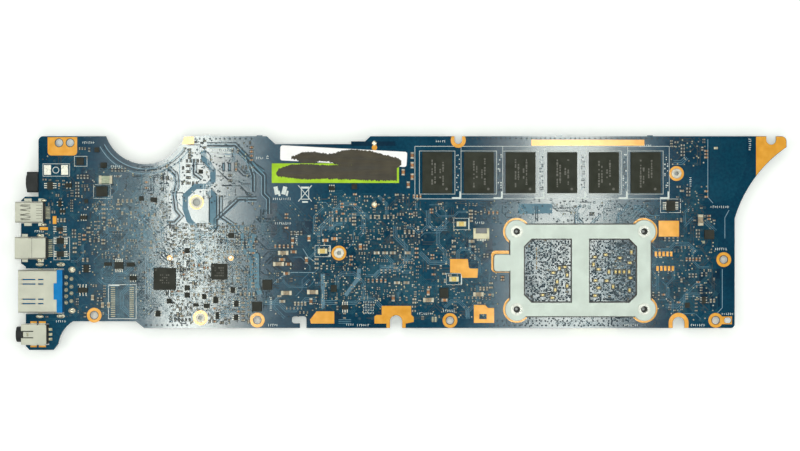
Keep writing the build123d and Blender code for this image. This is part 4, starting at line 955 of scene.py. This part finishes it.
def pours(face):
    """Wide copper shapes under the mask, edged by the gaps round them."""
    for width, path in (
        (1.7, [(-61.5, 28.8), (-61.5, 26.2), (-59.9, 24.6), (-58.6, 22.6), (-58.6, 19.4), (-60.4, 17.6),
            (-64.0, 17.6), (-67.2, 14.6), (-67.2, 10.5), (-66.0, 7.0), (-63.8, 4.6), (-63.8, 1.0)]),
        (2.0, [(-59.8, 16.2), (-58.6, 14.6), (-58.6, 4.2)]),
        (1.3, [(-50.2, 28.6), (-46.0, 24.2), (-43.0, 22.0)]), (1.3, [(-24.4, -9.6), (-24.4, -20.6)]),
        (1.2, [(-17.4, -16.4), (-13.2, -10.8), (-13.2, -8.0)]),
        (1.6, [(-45.6, 2.6), (-47.4, -1.0), (-45.0, -4.0), (-45.0, -13.0), (-44.0, -16.0)]),
        (1.0, [(-49.4, 3.0), (-49.4, -1.6), (-46.6, -5.4), (-46.6, -14.0)]),
    ):
        face.track("gap", path, width + 0.7, 0.012)
        face.track("wide", path, width, POUR_RISE)
    for path in (
        [(95.4, 32.2), (95.4, 14.2), (97.0, 12.4)], [(102.0, 10.2), (100.7, 7.8), (100.7, 1.4)],
        [(99.9, -8.2), (99.9, -20.2), (98.4, -21.8)], [(-30.6, -1.8), (-29.0, -4.4), (-25.6, -6.8)],
        [(-39.8, -12.6), (-37.4, -10.6), (-34.2, -9.2), (-26.8, -9.2)],
        [(-81.0, 3.4), (-76.0, -1.6), (-72.0, -3.4)],
        *([(x, -4.6), (x, -16.0)] for x in (-79.6, -78.8, -78.0)),
        [(-54.9, 27.5), (-50.6, 27.5), (-44.8, 21.6)], [(-69.0, 26.5), (-69.0, 17.0), (-71.4, 14.6)],
        [(-73.0, 23.2), (-70.2, 20.4), (-70.2, 13.4), (-67.8, 10.8)],
    ):
        face.track("pale_line", path, 0.2, PRINT_RISE)
    for path in (
        [(-72.9, 23.3), (-70.4, 21.1), (-70.1, 18.3), (-71.0, 15.2), (-70.4, 10.2), (-68.9, 8.4),
            (-70.7, 6.5), (-72.9, 6.5)],
        [(-82.9, 9.0), (-79.1, 5.9), (-76.0, 2.1)],
        [(-58.9, 2.8), (-57.3, 4.6), (-57.3, 7.1), (-53.6, 10.5), (-50.5, 13.4), (-45.0, 13.4)],
        [(-49.3, 27.7), (-45.5, 23.3), (-43.0, 20.8), (-43.0, 15.2), (-41.5, 13.7), (-41.5, 9.0)],
        [(-60.5, 30.2), (-51.8, 30.2), (-48.0, 26.2), (-46.2, 20.8), (-46.2, 16.0)],
        [(-64.6, 26.2), (-64.6, 21.4), (-62.2, 19.6)],
        [(-56.6, 14.8), (-56.6, 8.2), (-52.6, 5.4), (-50.4, 2.4)],
    ):
        # Each channel is a dark strip with pale strips on both sides, painted highlight along its edges,
        # and a narrower dark strip to one side.
        for offset, finish, width in (
            (0, "gap", 0.5), (-0.5, "pale_line", 0.2), (0.5, "pale_line", 0.2), (0.95, "gap", 0.3),
        ):
            face.track(finish, shifted(path, offset), width, POUR_RISE)
    for i in range(5):
        face.track("trace", [(68.0 + i * 1.3, 7.4), (72.0 + i * 1.3, 11.6)], 0.5, POUR_RISE)
        face.track("trace", [(-37.6 + i * 0.9, 12.8), (-33.4 + i * 0.9, 8.6)], 0.22, POUR_RISE)
    for i, finish in enumerate(("pale_line", "gap", "trace", "pale_line", "trace")):
        arc = []
        for step in range(19):
            angle = math.radians(208 + step * 6.6)
            radius = 14.45 + i * 0.5
            arc.append((-79.65 + radius * math.cos(angle), 37.45 + radius * math.sin(angle)))
        face.track(finish, arc, 0.24, POUR_RISE)


def upper_references(face):
    """Dashes in place of printed references."""
    for x, y, count, turn in (
        (-97.5, 31.2, 6, 0), (-36.9, 6.1, 8, 0), (7.4, -22.0, 8, 0), (14.8, -21.1, 6, 0),
        (99.0, 11.2, 9, 0), (108.5, 30.6, 6, 90), (99.4, -1.9, 6, 0), (101.5, -22.1, 6, 0),
        (92.2, -25.6, 7, 0), (37.0, -26.0, 6, 0), (-12.0, -25.6, 6, 0), (-40.0, -25.6, 5, 0),
        (-100.3, -23.9, 6, 0), (-110.3, -32.9, 6, 0), (12.2, 31.6, 5, 0), (24.4, 6.3, 5, 0),
        (-56.0, 28.9, 10, 0), (-44.1, 26.4, 4, 0), (-41.6, 26.6, 2, 90), (-40.6, -19.0, 7, 90),
        (-32.6, 1.6, 6, 90), (-88.6, 23.8, 6, 0), (-88.6, 20.8, 5, 0), (76.0, 30.3, 6, 0),
        (-100.2, -25.1, 3, 0), (-106.0, -24.4, 5, 0), (-113.0, 3.6, 4, 0), (-114.2, 14.3, 4, 0),
        (55.0, 31.0, 8, 0), (90.0, 19.0, 5, 90), (-16.0, -25.4, 4, 0), (71.5, -25.6, 7, 0),
        (68.5, 10.4, 5, 0),
    ):
        if face.land.covers(face.land.ground, x, y, 1.5, 1.5):
            face.dashes(x, y, count, turn, 0.8)
    for line in range(5):
        face.dashes(-10.2, -18.4 - line * 0.85, 7, 0, 0.62)


def ragged_patch(name, spine, low, high):
    """Thin patch of marker ink along a spine of (x, y, width) points, with streaky ragged edges."""
    rows = []
    for start, end in zip(spine, spine[1:]):
        run = Vector(end[:2]) - Vector(start[:2])
        steps = max(2, int(run.length / 0.16))
        for i in range(steps):
            t = i / steps
            x, y = start[0] + run.x * t, start[1] + run.y * t
            half = (start[2] + (end[2] - start[2]) * t) / 2
            upper = y + half + CHANCE.uniform(-0.22, 0.18)
            lower = y - half - CHANCE.uniform(-0.22, 0.3)
            rows.append([(x, lower, low), (x, lower, high), (x, upper, high), (x, upper, low)])
    soup = Soup()
    soup.stack(rows)
    soup.build(name, "ink")


def marker_ink():
    """Brown marker over both labels."""
    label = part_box("white_label")[1].z / MM
    ragged_patch("ink_upper", (
        (-34.2, 26.6, 0.8), (-32.6, 26.6, 1.4), (-31.2, 26.6, 3.3), (-27.0, 26.6, 3.5),
        (-24.8, 26.8, 2.5), (-22.6, 26.5, 2.5), (-20.6, 26.3, 3.4), (-18.6, 26.4, 4.7),
        (-15.6, 26.6, 5.0), (-9.8, 26.2, 5.0), (-6.4, 25.6, 4.3), (-3.6, 25.2, 3.8),
        (-0.9, 24.9, 3.0), (0.2, 25.0, 1.2),
    ), label, label + 0.03)
    ragged_patch("ink_lower", (
        (-38.9, 21.6, 0.8), (-38.0, 21.9, 2.6), (-34.0, 22.3, 4.2), (-30.0, 22.2, 4.8),
        (-24.0, 22.1, 4.2), (-14.0, 22.0, 4.7), (-6.0, 21.8, 4.9), (-1.2, 21.6, 4.2),
    ), label + 0.01, label + 0.045)


FIELDS = (
    # area, passives, bright vias, masked vias, dark vias, track bundles
    ((-112.0, -24.0, -97.0, 30.0), 80, 80, 90, 60, 70),
    ((-97.0, -24.0, -72.0, 24.0), 80, 130, 200, 160, 260),
    ((-97.0, -4.0, -72.0, 13.0), 70, 120, 80, 120, 90),
    ((-74.0, 12.0, -46.0, 32.0), 30, 30, 30, 200, 20),
    ((-72.0, -25.0, -45.0, 6.0), 320, 240, 110, 620, 170),
    ((-46.0, -24.0, -24.0, 12.0), 34, 60, 60, 60, 50),
    ((-27.0, -18.0, 6.0, 15.0), 190, 520, 220, 160, 190),
    ((-27.0, -24.0, 28.0, -12.0), 50, 110, 60, 60, 70),
    ((4.0, -20.0, 30.0, 13.0), 44, 170, 70, 60, 80),
    ((24.0, 4.0, 94.0, 13.5), 8, 12, 60, 260, 60),
    ((32.0, -26.0, 80.0, -22.0), 0, 0, 20, 170, 20),
    ((76.0, -24.0, 98.0, 8.0), 60, 170, 70, 80, 110),
    ((84.0, 24.0, 95.0, 32.5), 12, 40, 10, 10, 8),
    ((86.0, 6.0, 95.0, 18.0), 10, 26, 14, 14, 16),
)


def edge_stitching(face):
    """Rows of ground vias along the upper and lower edges."""
    for y, start, end in (
        (32.4, -64.0, -46.0), (32.5, 16.0, 94.0), (-25.6, -92.0, -66.0), (-25.7, 26.0, 74.0),
        (-24.3, 28.0, 72.0),
    ):
        x = start
        while x < end:
            if face.land.take(x, y, 0.3, 0.3):
                face.disc("gap", x, y, 0.3, 0, 0.03, 8, 0.1)
            x += CHANCE.uniform(1.2, 1.9)


def tone_patches(face):
    """Copper layers that show through the mask as lighter and darker shapes."""
    for finish, corners in (
        ("teal", [(-39.8, -12.6), (-37.4, -10.6), (-34.2, -9.2), (-26.8, -9.2), (-26.8, -19.4),
            (-29.4, -21.6), (-34.6, -21.6), (-39.4, -20.0)]),
        ("navy", [(-31.8, -4.4), (-26.0, -7.6), (-26.0, -9.0), (-34.2, -9.0), (-33.6, -6.0)]),
        ("navy", [(-32.4, 6.8), (-27.8, 6.8), (-27.8, 2.8), (-31.0, 2.8), (-32.4, 4.2)]),
        ("teal", [(96.0, 32.4), (107.4, 32.4), (107.4, 24.0), (103.4, 14.0), (98.0, 12.4), (96.0, 14.4)]),
        ("navy", [(88.6, -8.0), (99.2, -8.0), (99.2, -19.6), (97.4, -21.0), (90.6, -15.0),
            (88.6, -13.0)]),
        ("navy", [(77.6, 7.6), (86.6, 7.6), (88.0, 6.2), (88.0, -1.6), (79.4, -1.6), (77.6, 0.2)]),
        ("navy", [(19.6, 1.4), (28.4, 1.4), (28.4, -4.2), (24.6, -7.6), (19.6, -7.6)]),
        ("teal", [(11.6, -11.0), (20.0, -14.0), (26.0, -14.0), (26.0, -19.4), (14.0, -19.4),
            (11.6, -17.0)]),
        ("navy", [(-15.6, 31.6), (-1.8, 31.6), (-1.8, 30.2), (-15.6, 30.2)]),
        ("teal", [(-96.4, 13.4), (-89.0, 20.8), (-85.6, 20.8), (-85.6, 16.4), (-91.6, 10.2),
            (-96.4, 10.2)]),
        ("navy", [(-99.6, 22.8), (-95.4, 22.8), (-95.4, 18.6), (-98.2, 18.6), (-99.6, 20.0)]),
        ("teal", [(-96.8, -8.6), (-94.8, -8.6), (-94.8, -16.6), (-96.8, -18.6)]),
        ("navy", [(-41.8, 12.4), (-38.6, 12.4), (-38.6, 3.2), (-41.8, -0.6)]),
        ("teal", [(-12.6, -12.8), (-2.6, -12.8), (-2.6, -15.8), (-9.6, -17.4), (-12.6, -15.4)]),
        ("navy", [(-26.0, -21.4), (-18.6, -21.4), (-18.6, -24.0), (-28.0, -24.0)]),
        ("teal", [(28.8, 12.0), (36.0, 12.0), (36.0, 9.8), (31.6, 5.4), (28.8, 5.4)]),
        ("wide", [(36.4, 9.0), (36.4, 12.2), (47.0, 12.2), (47.0, 9.2)]),
        ("navy", [(-58.4, 26.8), (-56.8, 26.8), (-55.4, 25.4), (-55.4, 24.9), (-58.4, 24.9)]),
    ):
        face.plate(finish, corners, 0.01)
    for x in (-55.3, -53.4, -51.5):
        face.block("gap", x, 23.6, 0.95, 2.7, 0, 0.035)
        face.block("pale_line", x, 23.6, 0.35, 2.0, 0, 0.045)
    for y in (29.4, 28.2, 27.0):
        face.block("silk", -56.0, y, CHANCE.uniform(5, 8.5), 0.4, 0, 0.03)


def bracket_shadow(face):
    """Painted shadow: dark strips round the backplate's windows and along its lower edge, drawn in the
    black film finish.
    """
    cut = 2.5                                                    # of a window's outer corners
    low, high = -18.55, 1.3
    for inner, outer, way in ((53.05, 38.1, 1), (58.35, 73.3, -1)):
        path = [(inner, high), (inner, low), (outer + way * cut, low), (outer, low + cut),
                (outer, high - cut), (outer + way * cut, high)]
        face.line("film", path + path[:2], 0.75, 0.06)
    face.line("film", [(38.0, -22.95), (73.0, -22.95)], 0.3, 0.08)


def upper_face(face):
    """Everything that is drawn on the upper face, largest shapes first."""
    for draw in (tone_patches, pours, bracket_shadow, port_solder, shell_seams, controller_marks,
                 memory_print, flat_package_land, certification_marks, choke_land, lamp_print,
                 test_points, loose_chips, placed_parts, window_parts, upper_references,
                 edge_stitching):
        draw(face)
    small = ("0201",) * 6 + ("cap0201",) * 4 + ("0402",) * 3 + ("cap0402",) * 3 + ("amber0402",)
    for area, parts, bright, masked, dark, bundles in FIELDS:
        face.tracks("trace", area, bundles)
        face.tracks("gap", area, bundles // 2, (0.2, 0.4), 0.014, (1, 2))
        face.tracks("wide", area, bundles // 8, (0.16, 0.24), 0.03, (1, 3), 6, (1.5, 5))
        face.cluster(small, area, parts)
        for finish, count, radius in (("gold_small", bright * 2 // 3, 0.2), ("caps", bright // 3, 0.2),
                                      ("trace", masked, 0.26), ("gap", dark, 0.26)):
            face.vias(finish, area, count, radius)


# ---- Lower face ----
def lower_face(face):
    """Small packages, passives, tracks, vias and references of the lower face."""
    for x, y, length, width in ((-60.0, 8.0, 3.0, 2.4), (-20.0, 14.0, 2.6, 2.0), (30.0, 20.0, 3.0, 2.4)):
        face.gull(x, y, length, width, 1.0, 4, 0.65)
    for area, parts, bright, masked, bundles in (
        ((-110.0, -24.0, -60.0, 30.0), 200, 260, 300, 180),
        ((-60.0, -24.0, 0.0, 30.0), 260, 400, 400, 220),
        ((0.0, -24.0, 60.0, 30.0), 240, 400, 400, 220),
        ((60.0, -24.0, 100.0, 30.0), 120, 240, 200, 120),
    ):
        face.tracks("trace", area, bundles)
        face.tracks("gap", area, bundles // 2, (0.16, 0.3), 0.014, (1, 2))
        face.cluster(("0201", "cap0201", "0402", "cap0402", "cap0402", "cap0603"), area, parts, 6)
        for finish, count, radius in (("gold_small", bright, 0.22), ("caps", bright, 0.22),
                                      ("trace", masked, 0.26), ("gap", masked, 0.22)):
            face.vias(finish, area, count // 2, radius)
        for _ in range(12):
            x, y = CHANCE.uniform(area[0] + 3, area[2] - 3), CHANCE.uniform(area[1], area[3])
            if face.land.take(x, y, 4.4, 0.9):
                face.dashes(x, y, CHANCE.randint(4, 6), 0, 0.75)


def add_floor():
    """Pale sheet under the board."""
    finish = Finish("floor", 0.9)
    fibre = finish.noise(0.4, 6)
    finish.colour(finish.ramp(fibre, (0.35, (0.90, 0.925, 0.905)), (0.65, (0.93, 0.95, 0.935))))
    finish.bump(finish.noise(1.5, 4), 0.01)
    finish.shader.inputs["Emission Color"].default_value = (0.95, 1, 0.96, 1)
    finish.shader.inputs["Emission Strength"].default_value = 0.16
    mesh = bpy.data.meshes.new("floor")
    reach, level = 3.0, -0.0002                                  # metres
    corners = ((-reach, -reach), (reach, -reach), (reach, reach), (-reach, reach))
    mesh.from_pydata([(x, y, level) for x, y in corners], [], [(0, 1, 2, 3)])
    mesh.materials.append(finish.material)
    floor = bpy.data.objects.new("floor", mesh)
    bpy.context.scene.collection.objects.link(floor)


bpy.context.scene.view_settings.view_transform = "Standard"
add_camera()
add_lights()
make_finishes()
dress_nodes()
add_floor()
upper = Face(Land(True), "upper_")
upper_face(upper)
upper.build()
marker_ink()
stud_bore_shade()
lower = Face(Land(False), "lower_")
lower_face(lower)
lower.build()
